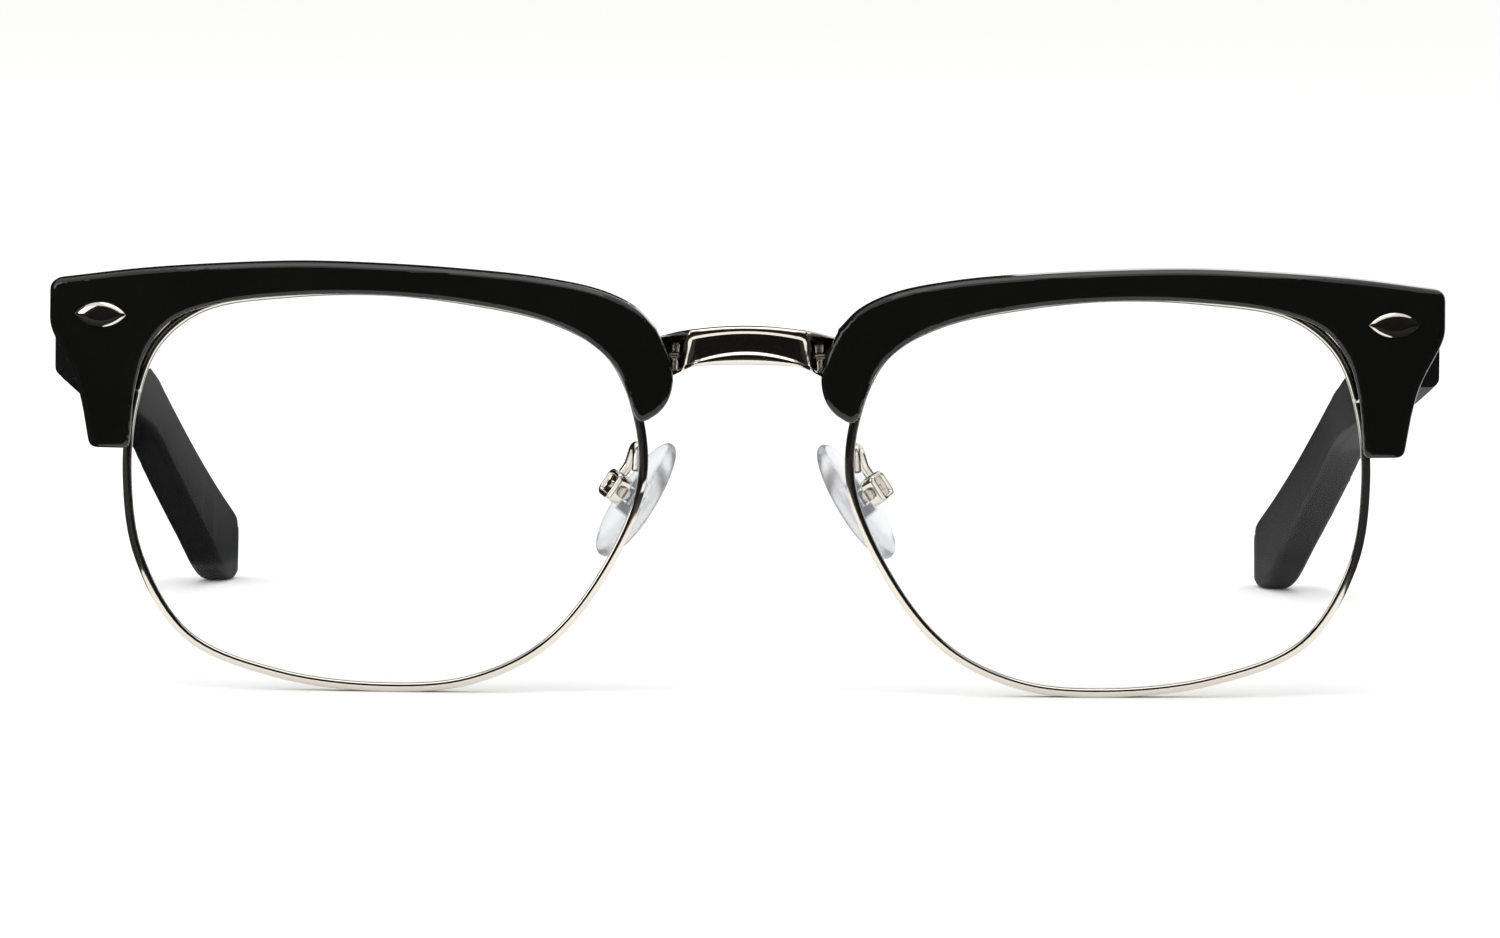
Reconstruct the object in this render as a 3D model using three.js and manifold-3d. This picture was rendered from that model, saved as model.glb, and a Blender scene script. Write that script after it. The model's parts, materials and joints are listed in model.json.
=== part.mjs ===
// Half rim (browline) eyeglasses, in millimetres.
// +X is the viewer's right when facing the front, +Y runs back along the temples, +Z is up.
// Each side piece is shaped once for the +X side and mirrored for the -X side.

import * as THREE from 'three';
import { mergeVertices } from 'three/addons/utils/BufferGeometryUtils.js';
import { TessellateModifier } from 'three/addons/modifiers/TessellateModifier.js';
import Module from 'manifold-3d';

const wasm = await Module();
wasm.setup();

// ---- Driving dimensions ----------------------------------------------------------------

const FOOTPRINT_SHIFT_Y = -72.71;     // centres the footprint on the origin
const GAP = 0.3;                      // between pieces that touch on the real object
const FIT = 0.1;                      // how much wider in radius a hole is than its screw or pin

const LENS_CENTRE_X = 35.75;          // half the distance between the lens centres
const LENS_CENTRE_Z = 20.9;
const LENS_THICKNESS = 1.7;
const BEVEL_HEIGHT = 0.35;            // the V edge that sits in the rim's groove
const BEVEL_HALF_THICKNESS = 0.45;
const WRAP = 3.5 * Math.PI / 180;     // each lens turns back towards its temple
const FRONT_RADIUS = 116;             // base curve of the lenses and the front

const RIM_WALL = 0.95;                // rim wire, measured away from the lens
const RIM_DEPTH = 2.0;                // rim wire, front to back
const GROOVE_DEPTH = 0.5;
const GROOVE_HALF_THICKNESS = 0.6;
const RIM_SPLIT_Z = 29.4;             // where the rim opens for the lens
const RIM_SPLIT = 0.4;

const BROW_FRONT = -2.6;              // brow faces, measured from the lens's middle surface
const BROW_BACK = 1.6;
const BROW_LIP = 1.3;                 // how far the rabbet stays behind the lens's middle surface
const BROW_CHAMFER = 0.45;
const BROW_END_X = 69.05;
const LEG_LOW_Z = 23.8;               // the leg's lower end, beside the lens
const BRIDGE_NOTCH = { depth: -0.6, lowZ: 30.3, highZ: 35.9, lowX: 5, highX: 13.2 };
const LOCK_NOTCH = { depth: -1.2, lowZ: 25.9, highZ: 32.1, lowX: 59, highX: 64.2 };
const BEHIND = 5;                     // further back than any flat piece of the front reaches

const HINGE_X = 63.3;                 // hinge axis, upright
const HINGE_Y = 12.0;
const HINGE_Z = 35.0;
const KNUCKLE_RADIUS = 1.35;
const KNUCKLE_HEIGHT = 1.5;
const KNUCKLE_GAP = 0.1;
const WEB_CLEAR = 0.55;               // the front's webs stay this far inside the hinge axis
const PIN_SIDES = 16;

// Screws: radius of shank and head, and how high the head stands.
const HINGE_SCREW = { shank: 0.66, head: 1.15, height: 0.6 };
const LOCK_SCREW = { shank: 0.45, head: 0.85, height: 0.5 };
const BROW_SCREW = { shank: 0.45, head: 0.95, height: 0.5 };
const LEAF_SCREW = { shank: 0.5, head: 0.95, height: 0.4 };
const PAD_SCREW = { shank: 0.3, head: 0.62, height: 0.45 };
const SCREW_SIDES = 12;
const SLOT_HALF_WIDTH = 0.13;         // the driver slot of every screw
const SLOT_DEPTH = 0.25;
const UNDER_HEAD = 0.1;               // between a screw's head and the piece below it

const TEMPLE_INNER_X = 65.0;
const TEMPLE_THICKNESS = 3.8;
const TEMPLE_START_Y = 10.6;
const TEMPLE_BEND_Y = 100;            // where the temple bends down behind the ear
const TEMPLE_END_Y = 146;
const TEMPLE_LEAN = 0.02;             // the temples close in a little towards the ears
const TIP_INWARD = 5.6;               // how far the tip curves further towards the head
const TIP_THINNING = 0.45;            // on each side of the tip
const CORE = { halfWidth: 0.55, halfHeight: 1.15, from: 0.16, to: 0.89, outward: 0.3 };

// ---- Solids and joining ----------------------------------------------------------------

function toSolid(geometry) {
  const bare = geometry.clone();
  bare.deleteAttribute('normal');
  bare.deleteAttribute('uv');
  const merged = mergeVertices(bare, 1e-4);
  const mesh = new wasm.Mesh({
    numProp: 3,
    vertProperties: new Float32Array(merged.attributes.position.array),
    triVerts: new Uint32Array(merged.index.array),
  });
  return new wasm.Manifold(mesh);
}

function toGeometry(solid) {
  const mesh = solid.getMesh();
  const geometry = new THREE.BufferGeometry();
  geometry.setAttribute('position', new THREE.BufferAttribute(new Float32Array(mesh.vertProperties), 3));
  geometry.setIndex(new THREE.BufferAttribute(new Uint32Array(mesh.triVerts), 1));
  return geometry;
}

function join(geometries) {
  return toGeometry(geometries.map(toSolid).reduce((whole, piece) => whole.add(piece)));
}

function cut(geometry, tools) {
  return toGeometry(tools.map(toSolid).reduce((rest, tool) => rest.subtract(tool), toSolid(geometry)));
}

function mirrored(geometry) {
  const copy = geometry.index ? geometry.toNonIndexed() : geometry.clone();
  copy.deleteAttribute('normal');
  copy.deleteAttribute('uv');
  const source = copy.attributes.position;
  const flipped = new Float32Array(source.array.length);
  for (let i = 0; i < source.count; i += 1) {
    const opposite = i - (i % 3) + (2 - (i % 3));
    flipped[3 * i] = -source.getX(opposite);
    flipped[3 * i + 1] = source.getY(opposite);
    flipped[3 * i + 2] = source.getZ(opposite);
  }
  copy.setAttribute('position', new THREE.BufferAttribute(flipped, 3));
  return mergeVertices(copy, 1e-4);
}

function box(lowX, lowY, lowZ, highX, highY, highZ) {
  const geometry = new THREE.BoxGeometry(highX - lowX, highY - lowY, highZ - lowZ);
  return geometry.translate((lowX + highX) / 2, (lowY + highY) / 2, (lowZ + highZ) / 2);
}

function uprightCylinder(radius, x, y, lowZ, highZ, sides = PIN_SIDES) {
  const geometry = new THREE.CylinderGeometry(radius, radius, highZ - lowZ, sides);
  return geometry.rotateX(Math.PI / 2).translate(x, y, (lowZ + highZ) / 2);
}

// A slotted screw. Its head stands on z = 0 and its shank reaches down by a length.
function screw({ shank, head, height }, length, sides = SCREW_SIDES) {
  const body = join([
    uprightCylinder(shank, 0, 0, -length, height / 2, sides),
    uprightCylinder(head, 0, 0, 0, height, sides),
  ]);
  const slot = box(
    -2 * head, -SLOT_HALF_WIDTH, height - SLOT_DEPTH, 2 * head, SLOT_HALF_WIDTH, 2 * height,
  );
  return cut(body, [slot]);
}

function wire(points, radius, steps) {
  const section = new THREE.Shape();
  section.absarc(0, 0, radius, 0, 2 * Math.PI);
  const path = new THREE.CatmullRomCurve3(points.map((p) => new THREE.Vector3(...p)), false, 'centripetal');
  return new THREE.ExtrudeGeometry(section, {
    steps, curveSegments: 4, bevelEnabled: false, extrudePath: path,
  });
}

// Outline of a rectangle with round corners, as points in the order of growing angle.
function roundedOutline(halfWidth, halfHeight, radius, cornerSteps) {
  const points = [];
  for (let corner = 0; corner < 4; corner += 1) {
    const signX = corner === 0 || corner === 3 ? 1 : -1;
    const signY = corner < 2 ? 1 : -1;
    for (let step = 0; step <= cornerSteps; step += 1) {
      const angle = (corner + step / Math.max(1, cornerSteps)) * Math.PI / 2;
      const x = signX * (halfWidth - radius) + radius * Math.cos(angle);
      points.push([x, signY * (halfHeight - radius) + radius * Math.sin(angle)]);
    }
  }
  return points;
}

// A closed body through stations: a cylinder whose rings are moved to sections.
// sectionAt(t) gives { centre, across, up, outline } for t from 0 to 1; across x up points back to t = 0.
function loft(stationCount, sides, sectionAt) {
  const geometry = new THREE.CylinderGeometry(1, 1, 1, sides, stationCount);
  const position = geometry.attributes.position;
  for (let i = 0; i < position.count; i += 1) {
    const t = 0.5 - position.getY(i);
    const radius = Math.hypot(position.getX(i), position.getZ(i));
    const turn = Math.atan2(position.getX(i), position.getZ(i)) / (2 * Math.PI);
    const index = (Math.round(turn * sides) + sides) % sides;
    const { centre, across, up, outline } = sectionAt(t);
    const [a, b] = radius < 0.5 ? [0, 0] : outline[index];
    const place = centre.clone().addScaledVector(across, a).addScaledVector(up, b);
    position.setXYZ(i, place.x, place.y, place.z);
  }
  return geometry;
}

// ---- The front's own surface -----------------------------------------------------------

// How far back the lens's middle surface lies at a place on the +X side of the front.
function frontSag(x, z) {
  const u = x - LENS_CENTRE_X;
  const v = z - LENS_CENTRE_Z;
  return u * Math.tan(WRAP) + (u * u + v * v) / (2 * FRONT_RADIUS);
}

// Flat work is laid out with y as its depth, then bent on to that surface.
function bent(geometry, longestEdge) {
  const fine = new TessellateModifier(longestEdge, 8);
  const loose = geometry.index ? geometry.toNonIndexed() : geometry;
  loose.deleteAttribute('normal');
  loose.deleteAttribute('uv');
  const copy = fine.modify(loose);
  const position = copy.attributes.position;
  for (let i = 0; i < position.count; i += 1) {
    position.setY(i, position.getY(i) + frontSag(position.getX(i), position.getZ(i)));
  }
  return mergeVertices(copy, 1e-4);
}

// Extrudes a shape drawn in x and z from one depth to another.
function plate(shape, frontY, backY, options = {}) {
  const geometry = new THREE.ExtrudeGeometry(shape, {
    depth: backY - frontY, bevelEnabled: false, curveSegments: 6, ...options,
  });
  return geometry.rotateX(Math.PI / 2).translate(0, backY, 0);
}

// ---- Lens and rim ----------------------------------------------------------------------

// Points of the rim's inner edge about the lens centre: outward, then up.
const LENS_OUTLINE = [
  [-24.95, 0.0], [-24.3, 7.4], [-21.7, 12.5], [-16.6, 15.5], [-8.6, 17.3], [0.0, 18.2], [9.2, 17.9],
  [17.8, 16.4], [22.2, 12.9], [24.35, 7.2], [24.95, 0.0], [23.75, -7.8], [19.15, -15.2], [10.5, -18.7],
  [0.0, -19.94], [-8.4, -19.2], [-15.4, -15.9], [-20.8, -9.6],
];
const OUTLINE_STEPS = 46;

const lensCurve = new THREE.CatmullRomCurve3(
  LENS_OUTLINE.map(([u, v]) => new THREE.Vector3(u, v, 0)), true, 'centripetal',
);

// The lens outline grown by an offset, as points in x and z.
function lensOutline(offset) {
  const points = [];
  for (let i = 0; i < OUTLINE_STEPS; i += 1) {
    const t = i / OUTLINE_STEPS;
    const point = lensCurve.getPointAt(t);
    const tangent = lensCurve.getTangentAt(t);
    const x = LENS_CENTRE_X + point.x - tangent.y * offset;
    const z = LENS_CENTRE_Z + point.y + tangent.x * offset;
    points.push(new THREE.Vector2(x, z));
  }
  return points;
}

// A flat disc of the lens outline whose edge comes to a V.
function edgedDisc(edgeOffset, faceOffset, halfThickness) {
  return plate(new THREE.Shape(lensOutline(faceOffset)), -0.02, 0.02, {
    bevelEnabled: true,
    bevelThickness: halfThickness,
    bevelSize: edgeOffset - faceOffset,
    bevelSegments: 1,
  });
}

function makeLens() {
  const body = plate(new THREE.Shape(lensOutline(-FIT)), -LENS_THICKNESS / 2, LENS_THICKNESS / 2);
  return bent(join([body, edgedDisc(BEVEL_HEIGHT, -FIT, BEVEL_HALF_THICKNESS)]), 9);
}

const LOCK_X = 62.45;                 // the blocks that close the rim, behind the brow's leg
const LOCK_Y = 5.7;
const LOCK_LOW_X = 60.0;
const LOCK_HIGH_X = 63.5;
const LOCK_HALF_DEPTH = 1.3;
const LOCK_HEIGHT = 2.3;

// Two blocks, above and below the split, cut clear of the lens.
function lockBlocks() {
  const lowY = LOCK_Y - LOCK_HALF_DEPTH;
  const highY = LOCK_Y + LOCK_HALF_DEPTH;
  const blocks = box(
    LOCK_LOW_X, lowY, RIM_SPLIT_Z - LOCK_HEIGHT, LOCK_HIGH_X, highY, RIM_SPLIT_Z + LOCK_HEIGHT,
  );
  const room = plate(new THREE.Shape(lensOutline(GROOVE_DEPTH + FIT)), -BEHIND, BEHIND);
  return cut(blocks, [bent(room, 12)]);
}

function makeRim() {
  const ring = new THREE.Shape(lensOutline(RIM_WALL));
  ring.holes.push(new THREE.Path(lensOutline(0).reverse()));
  const wireRing = plate(ring, -RIM_DEPTH / 2, RIM_DEPTH / 2);
  const groove = edgedDisc(GROOVE_DEPTH, -FIT, GROOVE_HALF_THICKNESS);
  const rim = join([bent(cut(wireRing, [groove]), 12), lockBlocks()]);
  const split = box(
    LENS_CENTRE_X + 20, LOCK_Y - 10, RIM_SPLIT_Z - RIM_SPLIT / 2,
    LENS_CENTRE_X + 35, LOCK_Y + 10, RIM_SPLIT_Z + RIM_SPLIT / 2,
  );
  const screwHole = uprightCylinder(
    LOCK_SCREW.shank + FIT, LOCK_X, LOCK_Y,
    RIM_SPLIT_Z - 2 * LOCK_HEIGHT, RIM_SPLIT_Z + 2 * LOCK_HEIGHT, SCREW_SIDES,
  );
  return cut(rim, [split, screwHole]);
}

// It goes in from below and ends inside the upper block.
function makeRimLockScrew() {
  const turned = screw(LOCK_SCREW, 2 * LOCK_HEIGHT - GAP).rotateX(Math.PI);
  return turned.translate(LOCK_X, LOCK_Y, RIM_SPLIT_Z - LOCK_HEIGHT - UNDER_HEAD);
}

// ---- Brow ------------------------------------------------------------------------------

const vectors = (pairs) => pairs.map(([x, z]) => new THREE.Vector2(x, z));

// The brow seen from the front: top edge, outer end, leg, lens side, then the nose side.
function browShape() {
  const shape = new THREE.Shape();
  shape.moveTo(9.0, 36.1);
  shape.splineThru(vectors([[11, 38.1], [14.4, 39.75], [20.3, 41.0], [28.2, 41.8], [36, 42.25], [44, 42.4],
    [52, 42.05], [60, 41.4], [68.3, 40.35]]));
  shape.quadraticCurveTo(BROW_END_X, 40.2, BROW_END_X, 39.3);
  shape.lineTo(BROW_END_X, 35.9);
  shape.splineThru(vectors([[67.9, 33.3], [66.6, 31], [65.8, 28.4], [65.05, 24.4]]));
  shape.quadraticCurveTo(64.95, LEG_LOW_Z, 64.3, LEG_LOW_Z);
  shape.lineTo(61.4, LEG_LOW_Z);
  shape.quadraticCurveTo(60.9, LEG_LOW_Z, 60.9, 24.3);
  shape.splineThru(vectors([[60.4, 29.5], [59.2, 33.5], [56.8, 36.4], [52.4, 38.1], [44, 39.15], [36, 39.25],
    [28.2, 38.6], [20.3, 37], [15.9, 35], [12.9, 32.2], [11.2, 28.2]]));
  shape.quadraticCurveTo(10.9, 26.7, 9.9, 27.1);
  shape.splineThru(vectors([[7.9, 28.8], [7.3, 31], [7.7, 33.4], [9.0, 36.1]]));
  return shape;
}

const RIVET_X = 63.9;
const RIVET_Z = 36.9;
const RIVET_HALF_LENGTH = 2.6;
const RIVET_HALF_HEIGHT = 1.25;
const RIVET_PIN_RADIUS = 0.5;
const RIVET_TAIL_RADIUS = 0.8;
const RIVET_TAIL_HEIGHT = 0.5;
const NOSE_SCREW_X = 10.9;            // where the bridge is screwed to the brow
const NOSE_SCREW_Z = 33.2;
const NOSE_SCREW_DEPTH = 1.6;         // its tip lies this far behind the brow's front face

function flatPin(radius, x, z, frontY, backY, sides = SCREW_SIDES) {
  const geometry = new THREE.CylinderGeometry(radius, radius, backY - frontY, sides);
  return geometry.translate(x, (frontY + backY) / 2, z);
}

function makeBrow() {
  const body = plate(browShape(), BROW_FRONT + BROW_CHAMFER, BROW_BACK - BROW_CHAMFER, {
    curveSegments: 2,
    bevelEnabled: true,
    bevelThickness: BROW_CHAMFER,
    bevelSize: BROW_CHAMFER,
    bevelOffset: -BROW_CHAMFER,
    bevelSegments: 1,
  });
  const rabbet = plate(new THREE.Shape(lensOutline(RIM_WALL + GAP)), -BROW_LIP, BEHIND);
  const notches = [BRIDGE_NOTCH, LOCK_NOTCH].map((notch) => (
    box(notch.lowX, notch.depth, notch.lowZ, notch.highX, BEHIND, notch.highZ)
  ));
  const rivetHole = flatPin(RIVET_PIN_RADIUS + FIT, RIVET_X, RIVET_Z, -BEHIND, BEHIND);
  const screwHole = flatPin(
    BROW_SCREW.shank + FIT, NOSE_SCREW_X, NOSE_SCREW_Z, BROW_FRONT + NOSE_SCREW_DEPTH - GAP, BEHIND,
  );
  return bent(cut(body, [rabbet, ...notches, rivetHole, screwHole]), 8);
}

// The almond of a rivet: two arcs that meet in points.
function almond(halfLength, halfHeight) {
  const radius = (halfLength ** 2 + halfHeight ** 2) / (2 * halfHeight);
  const reach = Math.asin(halfLength / radius);
  const shape = new THREE.Shape();
  shape.absarc(0, halfHeight - radius, radius, Math.PI / 2 - reach, Math.PI / 2 + reach);
  shape.absarc(0, radius - halfHeight, radius, -Math.PI / 2 - reach, -Math.PI / 2 + reach);
  return shape;
}

// Where the brow's front face and the end piece's front face lie, and how the front turns back.
const browFrontAt = (x, z) => frontSag(x, z) + BROW_FRONT;
const endPieceFaceAt = (x) => frontSag(x, END_HIGH_Z) + BROW_BACK + GAP / 2;
const slopeAt = (x) => Math.atan(Math.tan(WRAP) + (x - LENS_CENTRE_X) / FRONT_RADIUS);

function makeRivet() {
  const head = plate(almond(RIVET_HALF_LENGTH - 0.35, RIVET_HALF_HEIGHT - 0.35), -0.6, -0.3, {
    curveSegments: 4, bevelEnabled: true, bevelThickness: 0.3, bevelSize: 0.35, bevelSegments: 2,
  });
  const faceY = browFrontAt(RIVET_X, RIVET_Z) - 0.2;
  head.rotateX(-Math.atan((RIVET_Z - LENS_CENTRE_Z) / FRONT_RADIUS));
  head.rotateZ(slopeAt(RIVET_X)).translate(RIVET_X, faceY, RIVET_Z);
  const tailY = endPieceFaceAt(RIVET_X + RIVET_TAIL_RADIUS) + END_PLATE + UNDER_HEAD;
  const pin = flatPin(RIVET_PIN_RADIUS, RIVET_X, RIVET_Z, faceY - GAP, tailY + RIVET_TAIL_HEIGHT / 2);
  const tail = flatPin(RIVET_TAIL_RADIUS, RIVET_X, RIVET_Z, tailY, tailY + RIVET_TAIL_HEIGHT);
  return join([head, pin, tail]);
}

function makeNoseScrew() {
  const headY = bridgeDepthAt(NOSE_SCREW_X) + BRIDGE_FLANGE / 2 + UNDER_HEAD;
  const tipY = browFrontAt(NOSE_SCREW_X, NOSE_SCREW_Z) + NOSE_SCREW_DEPTH;
  const turned = screw(BROW_SCREW, headY - tipY).rotateX(-Math.PI / 2);
  return turned.translate(NOSE_SCREW_X, headY, NOSE_SCREW_Z);
}

// ---- Bridge ----------------------------------------------------------------------------

const BRIDGE_HALF_SPAN = 12.6;
const BRIDGE_TOP_Z = 36.4;            // in the middle; both edges fall towards the brows
const BRIDGE_BOTTOM_Z = 32.75;
const BRIDGE_PANEL = 2.2;             // thickness in the middle
const BRIDGE_FLANGE = 1.3;            // thickness behind the brows
const BRIDGE_FRONT_Y = 0.6;           // middle of the panel's thickness
const BRIDGE_STEP_BACK = 2.85;
const BRIDGE_KNUCKLE = 0.35;          // the raised band at each end of the panel

function smoothStep(value, from, to) {
  const t = Math.min(1, Math.max(0, (value - from) / (to - from)));
  return t * t * (3 - 2 * t);
}

// The bridge's middle goes back from the front panel to the flanges behind the brows.
function bridgeDepthAt(x) {
  return BRIDGE_FRONT_Y + BRIDGE_STEP_BACK * smoothStep(Math.abs(x), 4.5, 8.6);
}

function makeBridge() {
  const across = new THREE.Vector3(0, 1, 0);
  const up = new THREE.Vector3(0, 0, 1);
  const body = loft(26, 8, (t) => {
    const x = (0.5 - t) * 2 * BRIDGE_HALF_SPAN;
    const reach = Math.abs(x);
    const top = BRIDGE_TOP_Z - 1.3 * smoothStep(reach, 4.5, 9.5);
    const bottom = BRIDGE_BOTTOM_Z - 1.95 * smoothStep(reach, 4.4, 9);
    const knuckle = BRIDGE_KNUCKLE * (smoothStep(reach, 4.9, 5.3) - smoothStep(reach, 6.0, 6.5));
    const thinner = (BRIDGE_PANEL - BRIDGE_FLANGE) * smoothStep(reach, 5, 9);
    const thickness = BRIDGE_PANEL - thinner + knuckle;
    return {
      centre: new THREE.Vector3(x, bridgeDepthAt(x), (top + bottom) / 2),
      across,
      up,
      outline: roundedOutline(thickness / 2, (top - bottom) / 2, 0.45, 1),
    };
  });
  const holes = [-1, 1].map((side) => (
    flatPin(BROW_SCREW.shank + FIT, side * NOSE_SCREW_X, NOSE_SCREW_Z, 0, 2 * BEHIND)
  ));
  return cut(body, holes);
}

// ---- End piece and hinge ---------------------------------------------------------------

const END_PLATE = 0.9;                // thickness of the plate behind the brow
const END_LOW_X = 60.4;
const END_HIGH_X = 67.6;
const END_LOW_Z = 32.0;
const END_HIGH_Z = 38.9;

// Knuckles from the bottom up: the odd ones belong to the front, the even ones to the temple.
const KNUCKLES = [0, 1, 2, 3, 4].map((i) => {
  const pitch = KNUCKLE_HEIGHT + KNUCKLE_GAP;
  const middle = HINGE_Z + (i - 2) * pitch;
  return { low: middle - KNUCKLE_HEIGHT / 2, high: middle + KNUCKLE_HEIGHT / 2, onFront: i % 2 === 0 };
});
const HINGE_LOW = KNUCKLES[0].low;
const HINGE_HIGH = KNUCKLES[4].high;

const pinHole = () => (
  uprightCylinder(HINGE_SCREW.shank + FIT, HINGE_X, HINGE_Y, HINGE_LOW - 2, HINGE_HIGH + 2)
);

function makeEndPiece() {
  const shape = new THREE.Shape();
  shape.moveTo(END_LOW_X, endPieceFaceAt(END_LOW_X));
  [62.5, 65, END_HIGH_X].forEach((x) => shape.lineTo(x, endPieceFaceAt(x)));
  shape.lineTo(END_HIGH_X - 0.2, endPieceFaceAt(END_HIGH_X) + 0.7 * END_PLATE);
  [64.4, 62.2, END_LOW_X].forEach((x) => shape.lineTo(x, endPieceFaceAt(x) + END_PLATE));
  const upright = { depth: END_HIGH_Z - END_LOW_Z, bevelEnabled: false };
  const plateBody = new THREE.ExtrudeGeometry(shape, upright).translate(0, 0, END_LOW_Z);
  const webs = KNUCKLES.filter((knuckle) => knuckle.onFront).map(({ low, high }) => (
    join([
      uprightCylinder(KNUCKLE_RADIUS, HINGE_X, HINGE_Y, low, high),
      box(HINGE_X - KNUCKLE_RADIUS, endPieceFaceAt(HINGE_X), low, HINGE_X - WEB_CLEAR, HINGE_Y, high),
    ])
  ));
  const rivetHole = flatPin(RIVET_PIN_RADIUS + FIT, RIVET_X, RIVET_Z, 0, 4 * BEHIND);
  return cut(join([plateBody, ...webs]), [pinHole(), rivetHole]);
}

// It goes down through all five knuckles and shows a little below them.
function makeHingeScrew() {
  const headZ = HINGE_HIGH + UNDER_HEAD;
  return screw(HINGE_SCREW, headZ - HINGE_LOW + 0.2, PIN_SIDES).translate(HINGE_X, HINGE_Y, headZ);
}

const LEAF_LOW_Z = 32.9;
const LEAF_HIGH_Z = 37.1;
const LEAF_END_Y = 24;
const LEAF_INNER_X = 64.75;
const LEAF_OUTER_X = 65.6;
const LEAF_SCREWS_Y = [17.2, 21.4];
const LEAF_SCREW_Z = 34.6;
const LEAF_SCREW_REACH = 1.5;         // how far these screws go past the leaf

function makeTempleHinge() {
  const leaf = box(LEAF_INNER_X, HINGE_Y + GAP, LEAF_LOW_Z, LEAF_OUTER_X, LEAF_END_Y, LEAF_HIGH_Z);
  const webs = KNUCKLES.filter((knuckle) => !knuckle.onFront).map(({ low, high }) => (
    join([
      uprightCylinder(KNUCKLE_RADIUS, HINGE_X, HINGE_Y, low, high),
      box(HINGE_X, HINGE_Y + GAP, low, LEAF_OUTER_X, HINGE_Y + KNUCKLE_RADIUS, high),
    ])
  ));
  return cut(join([leaf, ...webs]), [pinHole(), ...leafScrewHoles()]);
}

// The same holes go through the leaf and into the temple.
function leafScrewHoles() {
  const lowX = LEAF_INNER_X - 1;
  const highX = LEAF_OUTER_X + LEAF_SCREW_REACH + GAP;
  const radius = LEAF_SCREW.shank + FIT;
  return LEAF_SCREWS_Y.map((y) => (
    new THREE.CylinderGeometry(radius, radius, highX - lowX, SCREW_SIDES)
      .rotateZ(Math.PI / 2).translate((lowX + highX) / 2, y, LEAF_SCREW_Z)
  ));
}

function makeLeafScrew(y) {
  const headX = LEAF_INNER_X - UNDER_HEAD;
  const turned = screw(LEAF_SCREW, LEAF_OUTER_X + LEAF_SCREW_REACH - headX).rotateY(-Math.PI / 2);
  return turned.translate(headX, y, LEAF_SCREW_Z);
}

// ---- Temple and its core ---------------------------------------------------------------

// The temple from the side: distance back, height of its middle, half its height.
const TEMPLE_PROFILE = [
  [10.6, 35.25, 4.85], [26, 32.9, 4.65], [60, 27.6, 3.95], [92, 22.9, 3.35], [102, 21.0, 3.35],
  [114, 16.8, 3.55], [130, 9.7, 3.95], [141, 4.44, 4.3], [146, 3.1, 3.1],
];

const profileCurve = new THREE.CatmullRomCurve3(
  TEMPLE_PROFILE.map(([y, z, half]) => new THREE.Vector3(y, z, half)), false, 'centripetal',
);

// How far the temple has moved in towards the head at a distance back.
function inwardAt(y) {
  const pastBend = Math.max(0, (y - TEMPLE_BEND_Y) / (TEMPLE_END_Y - TEMPLE_BEND_Y));
  return TEMPLE_LEAN * (y - HINGE_Y) + TIP_INWARD * pastBend ** 1.6;
}

// Middle of the temple's section at a share of its length, with the direction up its side.
function templeStation(t) {
  const place = profileCurve.getPoint(t);
  const tangent = profileCurve.getTangent(t);
  const length = Math.hypot(tangent.x, tangent.y);
  const x = TEMPLE_INNER_X + TEMPLE_THICKNESS / 2 - inwardAt(place.x);
  const tilt = smoothStep(place.x, TEMPLE_START_Y, TEMPLE_START_Y + 12);
  const lean = tilt * -tangent.y / length;
  return {
    centre: new THREE.Vector3(x, place.x, place.y),
    up: new THREE.Vector3(0, lean, Math.sqrt(1 - lean * lean)),
    half: place.z,
  };
}

function makeTemple() {
  const across = new THREE.Vector3(1, 0, 0);
  const body = loft(26, 12, (t) => {
    const { centre, up, half } = templeStation(t);
    const halfWidth = TEMPLE_THICKNESS / 2 - TIP_THINNING * smoothStep(t, 0.93, 1);
    return { centre, across, up, outline: roundedOutline(halfWidth, half, 0.9, 2) };
  });
  const channel = coreBody(CORE.halfWidth + GAP, CORE.halfHeight + GAP, 0, CORE.to + 0.01);
  const pocket = box(
    TEMPLE_INNER_X - 1, 0, LEAF_LOW_Z - GAP, LEAF_OUTER_X + GAP, LEAF_END_Y + GAP, LEAF_HIGH_Z + GAP,
  );
  return cut(body, [channel, pocket, ...leafScrewHoles()]);
}

// A bar that follows the temple's middle from one share of its length to another.
function coreBody(halfWidth, halfHeight, from, to) {
  const across = new THREE.Vector3(1, 0, 0);
  return loft(18, 4, (t) => {
    const { centre, up } = templeStation(from + t * (to - from));
    centre.x += CORE.outward;
    return { centre, across, up, outline: roundedOutline(halfWidth, halfHeight, 0, 0) };
  });
}

const makeCoreWire = () => coreBody(CORE.halfWidth, CORE.halfHeight, CORE.from, CORE.to);

// ---- Nose pads -------------------------------------------------------------------------

// Each pad is laid out flat: x up its length, y across its width, z towards the nose.
const PAD_CENTRE = new THREE.Vector3(10.9, 7.3, 18.8);
const PAD_UP = new THREE.Vector3(-0.547, 0, 0.837);
const PAD_SPLAY = 28 * Math.PI / 180;
const PAD_THICKNESS = 2.3;
const PAD_PIVOT_DEPTH = -2.6;         // the pad's screw, behind its outer face
const PAD_BOX_HALF_LENGTH = 1.45;
const PAD_BOX_HALF_WIDTH = 1.35;
const PAD_BOX_DEPTH = 1.8;
const PAD_BOX_BACK = PAD_PIVOT_DEPTH - 1.2;
const PAD_BOX_WALL = 0.5;
const PAD_ARM_RADIUS = 0.5;
const PAD_PLATE = { halfLength: 1.8, halfWidth: 1.3, thickness: 0.35 };
const PAD_TANG = { halfLength: 0.65, halfWidth: 0.55 };

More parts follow.
